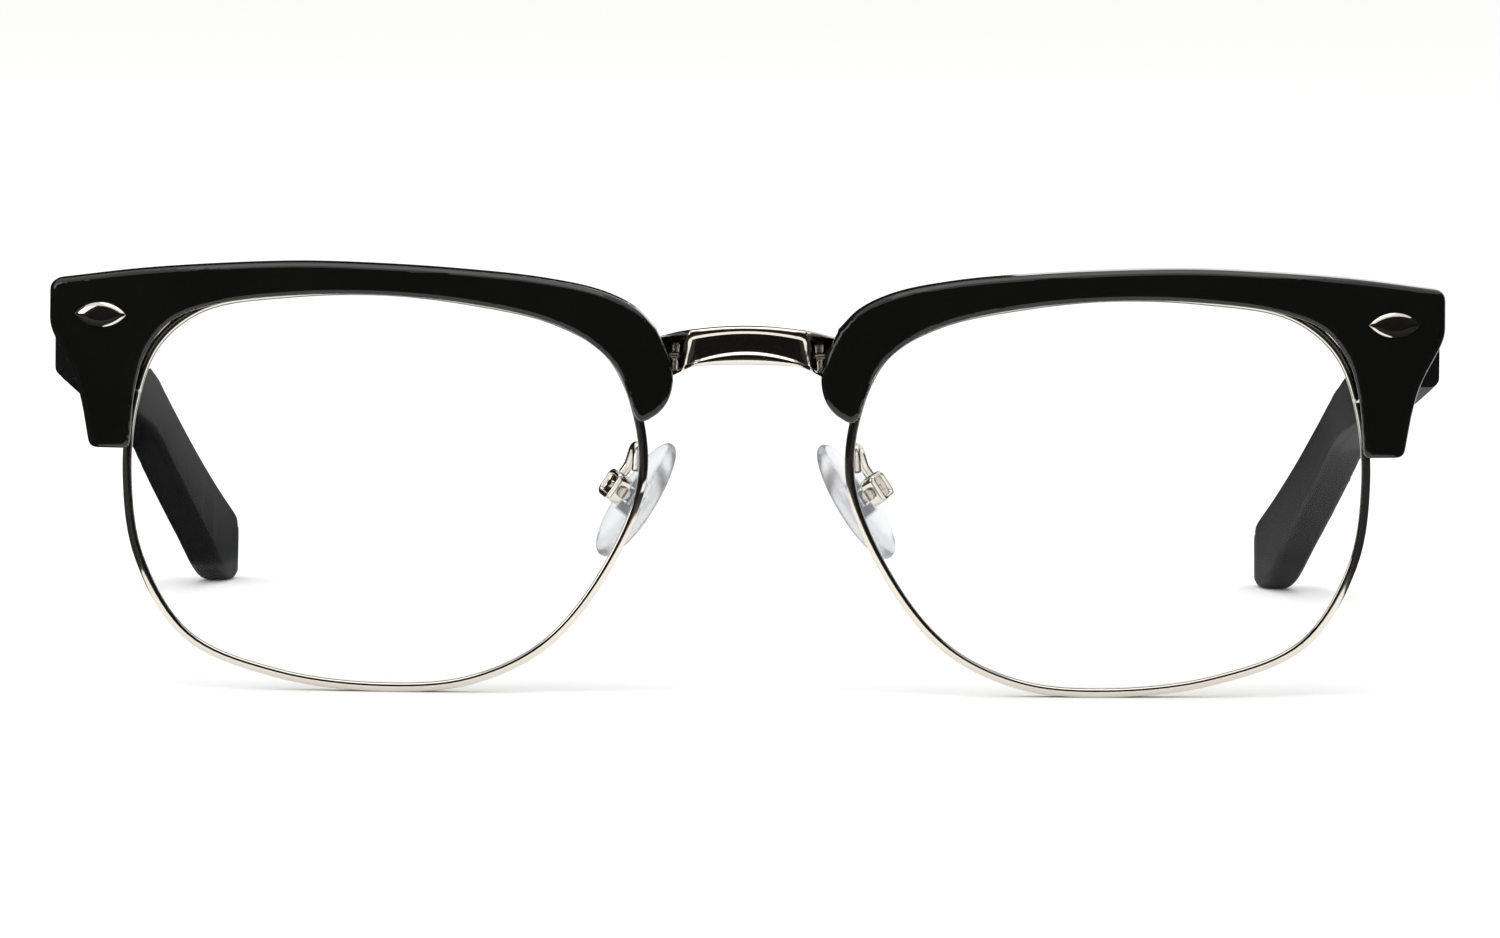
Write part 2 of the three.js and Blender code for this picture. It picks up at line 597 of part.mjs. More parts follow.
function padFrame() {
  const outward = new THREE.Vector3(PAD_UP.z, 0, -PAD_UP.x);
  const across = new THREE.Vector3(0, Math.cos(PAD_SPLAY), 0).addScaledVector(outward, Math.sin(PAD_SPLAY));
  const towardsNose = new THREE.Vector3().crossVectors(PAD_UP, across);
  const matrix = new THREE.Matrix4().makeBasis(PAD_UP, across, towardsNose);
  return matrix.setPosition(PAD_CENTRE);
}

// A teardrop, wider at its lower end.
function padShape(inset) {
  const shape = new THREE.Shape();
  const low = -6.6 + inset;
  const high = 6.6 - inset;
  const wide = 3.7 - inset;
  const narrow = 2.7 - inset;
  shape.moveTo(low, 0);
  shape.bezierCurveTo(low, -wide * 1.1, -2.6, -wide, 0, -(wide + narrow) / 2);
  shape.bezierCurveTo(3, -narrow, high, -narrow, high, 0);
  shape.bezierCurveTo(high, narrow, 3, narrow, 0, (wide + narrow) / 2);
  shape.bezierCurveTo(-2.6, wide, low, wide * 1.1, low, 0);
  return shape;
}

function makePad() {
  const rounding = 0.8;
  const body = new THREE.ExtrudeGeometry(padShape(rounding), {
    depth: PAD_THICKNESS - 2 * rounding,
    curveSegments: 5,
    bevelEnabled: true,
    bevelThickness: rounding,
    bevelSize: rounding,
    bevelSegments: 2,
  });
  body.translate(0, 0, rounding - PAD_THICKNESS / 2);
  const pocket = around(PAD_PLATE, GAP, -PAD_PLATE.thickness - GAP, GAP);
  const mouth = around(PAD_TANG, GAP, -PAD_THICKNESS, 0);
  return cut(body, [pocket, mouth]).applyMatrix4(padFrame());
}

// A box about the pad's middle, grown sideways, from one height to another.
function around({ halfLength, halfWidth }, grown, lowZ, highZ) {
  const length = halfLength + grown;
  const width = halfWidth + grown;
  return box(-length, -width, lowZ, length, width, highZ);
}

// The hole along the axis that the pad rocks on.
const padScrewHole = () => flatPin(PAD_SCREW.shank + FIT, 0, PAD_PIVOT_DEPTH, -2, 2);

// The pad's stiff core: a plate inside the pad and a tang with a hole for the screw.
function makePadCore() {
  const core = around(PAD_PLATE, 0, -PAD_PLATE.thickness, 0);
  const tang = around(PAD_TANG, 0, PAD_PIVOT_DEPTH - PAD_TANG.halfWidth, -PAD_PLATE.thickness / 2);
  return cut(join([core, tang]), [padScrewHole()]).applyMatrix4(padFrame());
}

// A little open box that holds the tang; its mouth faces the pad.
function makePadBox() {
  const outline = roundedOutline(PAD_BOX_HALF_LENGTH, PAD_BOX_HALF_WIDTH, 0.6, 2);
  const shape = new THREE.Shape(vectors(outline));
  const body = new THREE.ExtrudeGeometry(shape, { depth: PAD_BOX_DEPTH, bevelEnabled: false });
  body.translate(0, 0, PAD_BOX_BACK);
  const size = { halfLength: PAD_BOX_HALF_LENGTH, halfWidth: PAD_BOX_HALF_WIDTH };
  const inside = around(size, -PAD_BOX_WALL, PAD_BOX_BACK + PAD_BOX_WALL, 0);
  return cut(body, [inside, padScrewHole()]).applyMatrix4(padFrame());
}

function makePadScrew() {
  const turned = screw(PAD_SCREW, 2 * PAD_BOX_HALF_WIDTH).rotateX(Math.PI / 2);
  turned.translate(0, -PAD_BOX_HALF_WIDTH - UNDER_HEAD, PAD_PIVOT_DEPTH);
  return turned.applyMatrix4(padFrame());
}

// The arm springs from the rim's back, makes a narrow loop and ends on top of the pad's box.
function makePadArm() {
  const onBox = (up) => new THREE.Vector3(PAD_BOX_HALF_LENGTH + up, 0, PAD_PIVOT_DEPTH - 0.4)
    .applyMatrix4(padFrame()).toArray();
  return wire([
    [10.9, 2.85, 22.0],
    [10.85, 3.3, 23.5],
    [10.95, 4.2, 24.25],
    [11.2, 5.2, 24.0],
    onBox(1.1),
    onBox(0.06),
  ], PAD_ARM_RADIUS, 14);
}

// ---- Materials and assembly ------------------------------------------------------------

const material = (color, roughness, metalness, more = {}) => (
  new THREE.MeshStandardMaterial({ color, roughness, metalness, ...more })
);
const BLACK_ACETATE = material(0x0c0d0a, 0.12, 0);
const MATTE_ACETATE = material(0x1c1b1d, 0.6, 0);
const PLATED_METAL = material(0xcfc8bc, 0.12, 1);
const SCREW_METAL = material(0xb9b4ab, 0.25, 1);
const LENS_CLEAR = material(0xf4f8f8, 0.05, 0, { transparent: true, opacity: 0.25 });
const SILICONE = material(0xe6e9ec, 0.3, 0, { transparent: true, opacity: 0.5 });
const PAD_CORE = material(0x9aa0a4, 0.4, 0);

function add(group, name, geometry, look) {
  const mesh = new THREE.Mesh(geometry, look);
  mesh.name = name;
  group.add(mesh);
}

function addPair(group, name, geometry, look) {
  add(group, `${name}_right`, geometry, look);
  add(group, `${name}_left`, mirrored(geometry), look);
}

const front = new THREE.Group();
add(front, 'bridge', makeBridge(), PLATED_METAL);
addPair(front, 'brow', makeBrow(), BLACK_ACETATE);
addPair(front, 'rim', makeRim(), PLATED_METAL);
addPair(front, 'lens', makeLens(), LENS_CLEAR);
addPair(front, 'rim_lock_screw', makeRimLockScrew(), SCREW_METAL);
addPair(front, 'brow_rivet', makeRivet(), PLATED_METAL);
addPair(front, 'brow_nose_screw', makeNoseScrew(), SCREW_METAL);
addPair(front, 'end_piece', makeEndPiece(), PLATED_METAL);
addPair(front, 'hinge_screw', makeHingeScrew(), SCREW_METAL);
addPair(front, 'pad_arm', makePadArm(), PLATED_METAL);
addPair(front, 'pad_box', makePadBox(), PLATED_METAL);
addPair(front, 'pad_screw', makePadScrew(), SCREW_METAL);

const pads = new THREE.Group();
addPair(pads, 'nose_pad', makePad(), SILICONE);
addPair(pads, 'nose_pad_core', makePadCore(), PAD_CORE);

const temples = new THREE.Group();
addPair(temples, 'temple', makeTemple(), MATTE_ACETATE);
addPair(temples, 'temple_hinge', makeTempleHinge(), PLATED_METAL);
addPair(temples, 'temple_core_wire', makeCoreWire(), SCREW_METAL);
LEAF_SCREWS_Y.forEach((y, i) => {
  addPair(temples, `temple_hinge_screw_${i + 1}`, makeLeafScrew(y), SCREW_METAL);
});

const glasses = new THREE.Group();
glasses.add(front, pads, temples);
glasses.position.y = FOOTPRINT_SHIFT_Y;

export default glasses;
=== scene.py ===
# %% [markdown]
# # Half rim eyeglasses
# A browline frame is two slim metal rims under two heavy acetate brows, joined by a cast bridge.
# The CAD model fixes where every piece is and how it moves. Here each visible piece gets its fine
# shape and its finish. Everything is modelled at the bench in millimetres, where the numbers are
# easy to read, and is scaled to metres when it is finished.

# %% Load the frame
import json
import math

import bpy
from mathutils import Matrix, Vector


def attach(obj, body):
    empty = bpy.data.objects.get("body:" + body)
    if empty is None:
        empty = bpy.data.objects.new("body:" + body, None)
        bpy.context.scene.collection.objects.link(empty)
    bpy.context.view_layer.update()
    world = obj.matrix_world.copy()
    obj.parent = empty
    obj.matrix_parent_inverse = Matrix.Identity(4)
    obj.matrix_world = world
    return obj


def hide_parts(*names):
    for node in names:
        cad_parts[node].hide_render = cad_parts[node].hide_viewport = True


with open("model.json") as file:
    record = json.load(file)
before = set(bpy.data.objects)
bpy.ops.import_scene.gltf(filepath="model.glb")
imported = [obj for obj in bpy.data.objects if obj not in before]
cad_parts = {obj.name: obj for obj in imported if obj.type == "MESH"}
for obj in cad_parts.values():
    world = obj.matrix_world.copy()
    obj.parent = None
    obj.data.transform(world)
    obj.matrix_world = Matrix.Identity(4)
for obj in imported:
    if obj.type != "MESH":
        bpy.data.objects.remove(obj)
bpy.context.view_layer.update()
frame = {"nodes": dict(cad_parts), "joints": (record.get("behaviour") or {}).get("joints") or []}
MM = 0.001
joints = {joint["name"]: joint for joint in frame["joints"]}
hinge = Vector(joints["temple_right_fold"]["pos_m"])

# %% [markdown]
# The bench has its own zero: the middle of the lens lies at depth 0, and the hinge axis is 12 mm
# behind it. That one distance ties the bench to the frame.

# %% Bench sizes
HINGE_DEPTH = 12.0
BENCH_Y = hinge.y - HINGE_DEPTH * MM
LENS_CENTRE = (35.75, 20.9)
WRAP = math.tan(math.radians(3.5))
FRONT_RADIUS = 116.0


def front_sag(x, z):
    """How far back the front's curved surface lies, in mm, on the +X side."""
    u = x - LENS_CENTRE[0]
    v = z - LENS_CENTRE[1]
    return u * WRAP + (u * u + v * v) / (2 * FRONT_RADIUS)


# %% [markdown]
# An operator works on whatever is selected, and the CAD nodes arrive selected. So a piece is always
# activated alone before an operator touches it.

# %% Selecting and finishing
def activate(piece):
    if bpy.context.object and bpy.context.object.mode != "OBJECT":
        bpy.ops.object.mode_set(mode="OBJECT")
    bpy.ops.object.select_all(action="DESELECT")
    piece.select_set(True)
    bpy.context.view_layer.objects.active = piece


def edit(piece, *steps):
    """Runs edit-mode operators on the whole piece, each with everything selected."""
    activate(piece)
    bpy.ops.object.mode_set(mode="EDIT")
    for operator, settings in steps:
        bpy.ops.mesh.select_all(action="SELECT")
        operator(**settings)
    bpy.ops.object.mode_set(mode="OBJECT")


def apply_modifier(piece, kind, **settings):
    activate(piece)
    bpy.ops.object.modifier_add(type=kind)
    modifier = piece.modifiers[-1]
    for key, value in settings.items():
        setattr(modifier, key, value)
    bpy.ops.object.modifier_apply(modifier=modifier.name)


def boolean(piece, tool, operation):
    apply_modifier(piece, "BOOLEAN", object=tool, operation=operation, solver="EXACT")
    bpy.data.objects.remove(tool)


def soften(piece, width, segments=2, sharp=30):
    """Breaks the sharp edges and shades the rest smooth."""
    if width:
        apply_modifier(
            piece, "BEVEL", width=width, segments=segments, limit_method="ANGLE",
            angle_limit=math.radians(sharp), use_clamp_overlap=True,
        )
    activate(piece)
    bpy.ops.object.shade_smooth_by_angle(angle=math.radians(sharp))
    apply_modifier(piece, "WEIGHTED_NORMAL", keep_sharp=True)


def to_frame(piece):
    """Takes a finished piece from the bench, in mm, to its place in the frame, in metres."""
    piece.matrix_world = Matrix.Translation((0, BENCH_Y, 0)) @ Matrix.Scale(MM, 4)
    activate(piece)
    bpy.ops.object.transform_apply(location=True, rotation=True, scale=True)
    return piece


def mirrored(piece, name):
    activate(piece)
    bpy.ops.object.duplicate()
    copy = bpy.context.object
    copy.name = copy.data.name = name
    copy.scale.x = -1
    bpy.ops.object.transform_apply(location=True, rotation=True, scale=True)
    edit(copy, (bpy.ops.mesh.normals_make_consistent, {"inside": False}))
    return copy


# %% [markdown]
# Outlines are short lists of points. A centripetal Catmull-Rom curve runs through them, because it
# neither overshoots nor loops where the points are unevenly spaced.

# %% Smooth outlines
def curve_point(a, b, c, d, t):
    """The point at share t from b to c of a centripetal curve through a, b, c and d."""
    knots = [0.0]
    for one, two in ((a, b), (b, c), (c, d)):
        knots.append(knots[-1] + math.sqrt((two - one).length))
    place = knots[1] + t * (knots[2] - knots[1])
    level = [a, b, c, d]
    for width in (1, 2, 3):
        blended = []
        for i in range(len(level) - 1):
            start, end = (knots[1], knots[2]) if width == 3 else (knots[i], knots[i + width])
            share = (place - start) / (end - start)
            blended.append(level[i] * (1 - share) + level[i + 1] * share)
        level = blended
    return level[0]


def smooth(points, steps=8, closed=False):
    nodes = [Vector(point) for point in points]
    count = len(nodes)
    found = []
    for i in range(count if closed else count - 1):
        if closed:
            a, d = nodes[i - 1], nodes[(i + 2) % count]
        else:
            a = nodes[i - 1] if i else nodes[0] * 2 - nodes[1]
            d = nodes[i + 2] if i + 2 < count else nodes[-1] * 2 - nodes[-2]
        b, c = nodes[i], nodes[(i + 1) % count]
        found += [curve_point(a, b, c, d, step / steps) for step in range(steps)]
    return found if closed else found + [nodes[-1]]


def corner(start, bend, end, steps=5):
    """A rounded corner: a quadratic curve from start to end, pulled to bend."""
    start, bend, end = Vector(start), Vector(bend), Vector(end)
    shares = [step / steps for step in range(steps + 1)]
    return [start * (1 - t) ** 2 + bend * 2 * t * (1 - t) + end * t * t for t in shares]


SAME_POINT = 0.02


def joined(*stretches):
    """One outline from stretches that meet, without the doubled points."""
    outline = []
    for stretch in stretches:
        for point in stretch:
            if not outline or (Vector(point) - outline[-1]).length > SAME_POINT:
                outline.append(Vector(point))
    if (outline[0] - outline[-1]).length < SAME_POINT:
        outline.pop()
    return outline


# %% [markdown]
# Bars and sheets are skinned: a filled ring is extruded from station to station, and each new ring is
# moved to its own section. Flat work is the same thing with one outline: it is drawn in by a little
# more at each station, so a profile of (inset, depth) pairs gives the sheet its rounded edge.
# A large face that meets a rounded edge gets a land, a narrow strip of its own direction. The smooth
# shading then bends on the rounding only, and the flat stays flat.

# %% Skinning
def skin(name, rings):
    bpy.ops.mesh.primitive_circle_add(vertices=len(rings[0]), fill_type="NGON")
    piece = bpy.context.object
    piece.name = piece.data.name = name
    for vertex, place in zip(piece.data.vertices, rings[0]):
        vertex.co = place
    activate(piece)
    for before, after in zip(rings, rings[1:]):
        bpy.ops.object.mode_set(mode="EDIT")
        bpy.ops.mesh.extrude_region()
        bpy.ops.object.mode_set(mode="OBJECT")
        for vertex in [vertex for vertex in piece.data.vertices if vertex.select]:
            index = min(range(len(before)), key=lambda i: (before[i] - vertex.co).length_squared)
            vertex.co = after[index]
    edit(piece, (bpy.ops.mesh.normals_make_consistent, {"inside": False}))
    return piece


def drawn_in(outline, inset):
    """A clockwise outline moved inwards along its own normals."""
    moved = []
    for i, point in enumerate(outline):
        ahead = outline[(i + 1) % len(outline)] - outline[i - 1]
        moved.append(point + Vector((ahead.y, -ahead.x)).normalized() * inset)
    return moved


def plate(name, outline, profile):
    rings = []
    for inset, depth in profile:
        rings.append([Vector((point.x, depth, point.y)) for point in drawn_in(outline, inset)])
    return skin(name, rings)


def round_edge(front, radius, land, steps=4):
    """The stations of a rounded front edge, between its two lands."""
    stations = [(0.0, front + radius + land)]
    for step in range(steps + 1):
        angle = step / steps * math.pi / 2
        stations.append((radius * (1 - math.cos(angle)), front + radius * (1 - math.sin(angle))))
    return stations + [(radius + land, front)]


LARGE_FACE = 2.0


def slice_faces(piece, low, high, step):
    """Cuts the large flat faces into a grid, so that they can take a curve."""
    activate(piece)
    for face in piece.data.polygons:
        face.select = abs(face.normal.y) > 0.999 and face.area > LARGE_FACE
    bpy.ops.object.mode_set(mode="EDIT")
    bpy.ops.mesh.select_mode(type="FACE")
    bpy.ops.mesh.hide(unselected=True)
    for axis, normal in enumerate(((1, 0, 0), (0, 0, 1))):
        for cut in range(1, int((high[axis] - low[axis]) / step) + 1):
            place = low[axis] + cut * step
            bpy.ops.mesh.select_all(action="SELECT")
            bpy.ops.mesh.bisect(plane_co=[place * value for value in normal], plane_no=normal)
    bpy.ops.mesh.reveal(select=False)
    bpy.ops.mesh.select_mode(type="VERT")
    bpy.ops.object.mode_set(mode="OBJECT")


def curve_front(piece, low, high, step, sharp=32):
    """Marks the sharp edges while the faces are flat, then lays the piece on the front's curve."""
    activate(piece)
    bpy.ops.object.shade_smooth_by_angle(angle=math.radians(sharp))
    slice_faces(piece, low, high, step)
    for vertex in piece.data.vertices:
        vertex.co.y += front_sag(vertex.co.x, vertex.co.z)
    apply_modifier(piece, "WEIGHTED_NORMAL", keep_sharp=True)


def block(name, low, high):
    centre = (Vector(low) + Vector(high)) / 2
    bpy.ops.mesh.primitive_cube_add(size=1, location=centre)
    piece = bpy.context.object
    piece.name = name
    piece.scale = Vector(high) - Vector(low)
    bpy.ops.object.transform_apply(location=True, rotation=True, scale=True)
    return piece


def rod(name, radius, start, end, vertices=32):
    """A round bar between two points."""
    start, end = Vector(start), Vector(end)
    along = end - start
    bpy.ops.mesh.primitive_cylinder_add(radius=radius, depth=along.length, vertices=vertices)
    piece = bpy.context.object
    piece.name = name
    turn = Vector((0, 0, 1)).rotation_difference(along).to_matrix().to_4x4()
    piece.matrix_world = Matrix.Translation((start + end) / 2) @ turn
    bpy.ops.object.transform_apply(location=True, rotation=True, scale=True)
    return piece


# %% Sections
def rounded_rectangle(half_width, half_height, radius, steps):
    """Points round a rectangle with round corners, anticlockwise."""
    points = []
    for quarter in range(4):
        sign_x = 1 if quarter in (0, 3) else -1
        sign_y = 1 if quarter < 2 else -1
        for step in range(steps + 1):
            angle = (quarter + step / steps) * math.pi / 2
            x = sign_x * (half_width - radius) + radius * math.cos(angle)
            points.append((x, sign_y * (half_height - radius) + radius * math.sin(angle)))
    return points


def ease(value, start, end):
    t = min(1.0, max(0.0, (value - start) / (end - start)))
    return t * t * (3 - 2 * t)


# %% [markdown]
# A material starts from what the real one is. One function turns the sRGB hex colours to linear, and
# one adds a node with its settings and links.

# %% Material helpers
def colour(hex_code):
    channels = [int(hex_code[i:i + 2], 16) / 255 for i in (1, 3, 5)]
    linear = [c / 12.92 if c <= 0.04045 else ((c + 0.055) / 1.055) ** 2.4 for c in channels]
    return (*linear, 1.0)


def add_node(tree, kind, inputs=None, **settings):
    made = tree.nodes.new(kind)
    for key, value in settings.items():
        setattr(made, key, value)
    for key, value in (inputs or {}).items():
        if isinstance(value, bpy.types.NodeSocket):
            tree.links.new(value, made.inputs[key])
        else:
            made.inputs[key].default_value = value
    return made


def new_material(name):
    """An empty material with its tree, its shader and the object's own coordinates."""
    material = bpy.data.materials.new(name)
    material.use_nodes = True
    tree = material.node_tree
    shader = tree.nodes["Principled BSDF"]
    place = add_node(tree, "ShaderNodeTexCoord").outputs["Object"]
    return material, tree, shader, place


def per_mm(size_mm):
    """Texture scale that makes one feature about this many millimetres."""
    return 1 / (size_mm * MM)


def uneven_gloss(tree, shader, place, size_mm, low, high):
    """Roughness that wanders between two values in patches of a real size. Returns the patches."""
    noise = add_node(
        tree, "ShaderNodeTexNoise", {"Vector": place, "Scale": per_mm(size_mm), "Detail": 3.0},
    )
    patches = noise.outputs["Fac"]
    spread = add_node(tree, "ShaderNodeMapRange", {"Value": patches, "To Min": low, "To Max": high})
    tree.links.new(spread.outputs["Result"], shader.inputs["Roughness"])
    return patches


def two_tones(tree, shader, place, size_mm, one, other):
    """A base colour that drifts between two near tones in patches of a real size."""
    noise = add_node(
        tree, "ShaderNodeTexNoise", {"Vector": place, "Scale": per_mm(size_mm), "Detail": 3.0},
    )
    mix = add_node(
        tree, "ShaderNodeMix", {"Factor": noise.outputs["Fac"], "A": colour(one), "B": colour(other)},
        data_type="RGBA",
    )
    tree.links.new(mix.outputs["Result"], shader.inputs["Base Color"])


def bumped(tree, shader, height, distance_mm, strength):
    bump = add_node(
        tree, "ShaderNodeBump",
        {"Height": height, "Distance": distance_mm * MM, "Strength": strength},
    )
    tree.links.new(bump.outputs["Normal"], shader.inputs["Normal"])


# %% [markdown]
# **Polished black acetate.** Brows are milled from cellulose acetate sheet, tumbled in drums of wood
# chips for days and then buffed. That gives a deep wet black whose reflections are sharp but very
# slightly wavy, with a few patches that the buff left less bright.

# %% Polished acetate
def polished_acetate():
    material, tree, shader, place = new_material("polished black acetate")
    two_tones(tree, shader, place, 9.0, "#0A0B08", "#10110D")
    uneven_gloss(tree, shader, place, 4.0, 0.035, 0.11)
    shader.inputs["IOR"].default_value = 1.48
    wave = add_node(
        tree, "ShaderNodeTexNoise", {"Vector": place, "Scale": per_mm(2.5), "Detail": 1.0},
    )
    bumped(tree, shader, wave.outputs["Fac"], 0.02, 0.12)
    return material


# %% [markdown]
# **Matte black acetate.** The temples are the same sheet, blasted with fine beads after milling. The
# pits scatter light and also trap some of it, so the skin reads as charcoal and its sheen is weak.
# The specular level is low for that reason.

# %% Matte acetate
def matte_acetate():
    material, tree, shader, place = new_material("matte black acetate")
    two_tones(tree, shader, place, 7.0, "#111011", "#171617")
    grain = uneven_gloss(tree, shader, place, 0.35, 0.5, 0.64)
    shader.inputs["IOR"].default_value = 1.48
    shader.inputs["Specular IOR Level"].default_value = 0.1
    bumped(tree, shader, grain, 0.03, 0.35)
    return material


# %% [markdown]
# **Polished nickel plate.** Rims, bridge and pad arms are nickel silver wire and castings, plated and
# buffed bright. Nickel is a little warmer than chrome. It has no colour of its own to speak of: it
# shows the studio, dark where it faces the camera and cream where it faces the light.

# %% Nickel plate
def nickel_plate():
    material, tree, shader, place = new_material("polished nickel plate")
    two_tones(tree, shader, place, 5.0, "#D9D2C6", "#E4DED4")
    haze = uneven_gloss(tree, shader, place, 1.6, 0.05, 0.13)
    shader.inputs["Metallic"].default_value = 1.0
    bumped(tree, shader, haze, 0.015, 0.1)
    return material


# %% [markdown]
# **Turned steel.** Screws come off a lathe, so their heads carry fine tool rings, and they are duller
# than the plating around them. The real rings are too fine to show, so these are half a millimetre.

# %% Turned steel
def turned_steel():
    material, tree, shader, place = new_material("turned steel")
    rings = add_node(
        tree, "ShaderNodeTexWave",
        {"Vector": place, "Scale": per_mm(0.5), "Distortion": 1.5, "Detail": 1.0},
        wave_type="RINGS",
    )
    uneven_gloss(tree, shader, place, 0.6, 0.2, 0.34)
    shader.inputs["Base Color"].default_value = colour("#C4C0B9")
    shader.inputs["Metallic"].default_value = 1.0
    bumped(tree, shader, rings.outputs["Fac"], 0.01, 0.15)
    return material


# %% [markdown]
# **Lens resin.** Demonstration lenses are clear CR-39 or acrylic with an index near 1.5. A coat against
# reflections takes most of the glare away, so that the temples stay black behind them. The edge is
# ground on a wheel and left matte white.

# %% Lens resin
def lens_resin():
    material, tree, shader, place = new_material("clear lens resin")
    uneven_gloss(tree, shader, place, 12.0, 0.0, 0.012)
    shader.inputs["Base Color"].default_value = colour("#FDFEFE")
    shader.inputs["IOR"].default_value = 1.5
    shader.inputs["Specular Tint"].default_value = colour("#5A5E5C")
    shader.inputs["Transmission Weight"].default_value = 1.0
    return material


# %% Ground edge
def ground_edge():
    material, tree, shader, place = new_material("ground lens edge")
    grit = uneven_gloss(tree, shader, place, 0.2, 0.3, 0.55)
    shader.inputs["Base Color"].default_value = colour("#F3F5F5")
    shader.inputs["IOR"].default_value = 1.5
    shader.inputs["Transmission Weight"].default_value = 0.75
    bumped(tree, shader, grit, 0.02, 0.4)
    return material


# %% [markdown]
# **Silicone and its core.** The pads are clear silicone moulded over a stiff grey core. Silicone is
# never quite clear: it has a faint milky haze and a soft, slightly greasy gloss.

# %% Silicone
def clear_silicone():
    material, tree, shader, place = new_material("clear silicone")
    haze = uneven_gloss(tree, shader, place, 1.2, 0.12, 0.26)
    shader.inputs["Base Color"].default_value = colour("#F4F6F8")
    shader.inputs["IOR"].default_value = 1.41
    shader.inputs["Transmission Weight"].default_value = 0.9
    bumped(tree, shader, haze, 0.03, 0.12)
    return material


# %% Moulded core
def moulded_core():
    material, tree, shader, place = new_material("moulded grey polycarbonate")
    grain = uneven_gloss(tree, shader, place, 0.5, 0.32, 0.5)
    shader.inputs["Base Color"].default_value = colour("#8D94A0")
    shader.inputs["IOR"].default_value = 1.58
    bumped(tree, shader, grain, 0.02, 0.2)
    return material


# %% [markdown]
# **Drawn wire.** The wire inside a temple is nickel silver pulled through a die, which leaves fine
# lines along its length.

# %% Drawn wire
def drawn_wire():
    material, tree, shader, place = new_material("drawn nickel silver wire")
    streaks = add_node(tree, "ShaderNodeMapping", {"Vector": place, "Scale": (1.0, 0.05, 1.0)})
    lines = uneven_gloss(tree, shader, streaks.outputs["Vector"], 0.3, 0.28, 0.45)
    shader.inputs["Base Color"].default_value = colour("#BDB6A8")
    shader.inputs["Metallic"].default_value = 1.0
    bumped(tree, shader, lines, 0.01, 0.2)
    return material


# %% [markdown]
# The finishes are kept under the names of the record's slots. Every piece says which slot it wears,
# which body it rides on and which CAD node it stands for.

# %% Finishes and handing over
MATERIALS = {
    "gloss_acetate": polished_acetate(),
    "matte_acetate": matte_acetate(),
    "plated_metal": nickel_plate(),
    "screw_steel": turned_steel(),
    "core_metal": drawn_wire(),
    "lens": lens_resin(),
    "silicone": clear_silicone(),
    "pad_core": moulded_core(),
}
LENS_EDGE = ground_edge()
print("materials", sorted(material.name for material in MATERIALS.values()))


def wear(piece, slot):
    """Gives a piece the finish of one of the record's slots."""
    piece.data.materials.clear()
    piece.data.materials.append(MATERIALS[slot])


def hand_over(piece, body, node, slot):
    """The finished piece rides on its body and stands for its CAD node."""
    wear(piece, slot)
    to_frame(piece)
    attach(piece, body)
    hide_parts(node)
    print(f"{piece.name}: {len(piece.data.polygons)} faces on {body}")


def hand_over_pair(piece, body, node, slot):
    """Shapes the -X side from the +X side and hands over both."""
    base = piece.name
    other = mirrored(piece, f"{base}_left")
    piece.name = piece.data.name = f"{base}_right"
    bodies = {"right": body.replace("SIDE", "right"), "left": body.replace("SIDE", "left")}
    hand_over(piece, bodies["right"], f"{node}_right", slot)
    hand_over(other, bodies["left"], f"{node}_left", slot)
    return piece, other


# %% [markdown]
# ## The lens's outline
# One outline drives the rim, the lens and the rabbet in the brow. It is given about the lens centre,
# and it is grown or shrunk along its own normals.

# %% Lens outline
LENS_POINTS = [
    (-24.95, 0.0), (-24.3, 7.4), (-21.7, 12.5), (-16.6, 15.5), (-8.6, 17.3), (0.0, 18.2), (9.2, 17.9),
    (17.8, 16.4), (22.2, 12.9), (24.35, 7.2), (24.95, 0.0), (23.75, -7.8), (19.15, -15.2),
    (10.5, -18.7), (0.0, -19.94), (-8.4, -19.2), (-15.4, -15.9), (-20.8, -9.6),
]


def lens_outline(offset, steps=9):
    points = smooth(LENS_POINTS, steps, closed=True)
    grown = []
    for i, point in enumerate(points):
        ahead = points[(i + 1) % len(points)] - points[i - 1]
        outward = Vector((-ahead.y, ahead.x)).normalized()
        grown.append(Vector(LENS_CENTRE) + point + outward * offset)
    return grown


# %% [markdown]
# ## Lenses
# A lens is a curved sheet 1.7 mm thick whose edge comes to a V, so that it snaps into the rim's
# groove. The sheet is flat work: a plate with a chamfer on both faces makes the V, a grid of slices
# lets it take the base curve. The V's own faces wear the ground finish.

# %% Lenses
LENS_HALF = 0.85
LENS_V = 0.35
FACE_TURN = 0.8


def make_lens():
    profile = [(LENS_V, LENS_HALF), (0.0, 0.0), (LENS_V, -LENS_HALF)]
    lens = plate("lens", lens_outline(LENS_V), profile)
    curve_front(lens, (9, 0), (62, 41), 2.0)
    return lens


for piece in hand_over_pair(make_lens(), "front", "lens", "lens"):
    piece.data.materials.append(LENS_EDGE)
    for face in piece.data.polygons:
        face.material_index = 0 if abs(face.normal.y) > FACE_TURN else 1

# %% [markdown]
# ## Rims
# The eyewire is drawn wire with a groove on its inner side. A closed curve with the wire's section as
# its bevel object sweeps it in one go. It is bent with the rest of the front, its lock block is joined
# on, as it is soldered on the real rim, and both are cut open at the temple side. A tool that goes
# right through the work reaches THROUGH millimetres past the middle of the lens or the lock.

# %% Rim wire
RIM_WALL = 0.95
RIM_HALF_DEPTH = 1.0
LOCK = Vector((62.45, 5.7, 29.4))
LOCK_LOW = LOCK - Vector((2.25, 1.3, 2.3))
LOCK_HIGH = LOCK + Vector((1.05, 1.3, 2.3))
LOCK_BORE = 0.55
SPLIT_HALF = Vector((0, 0, 0.16))
THROUGH = 5


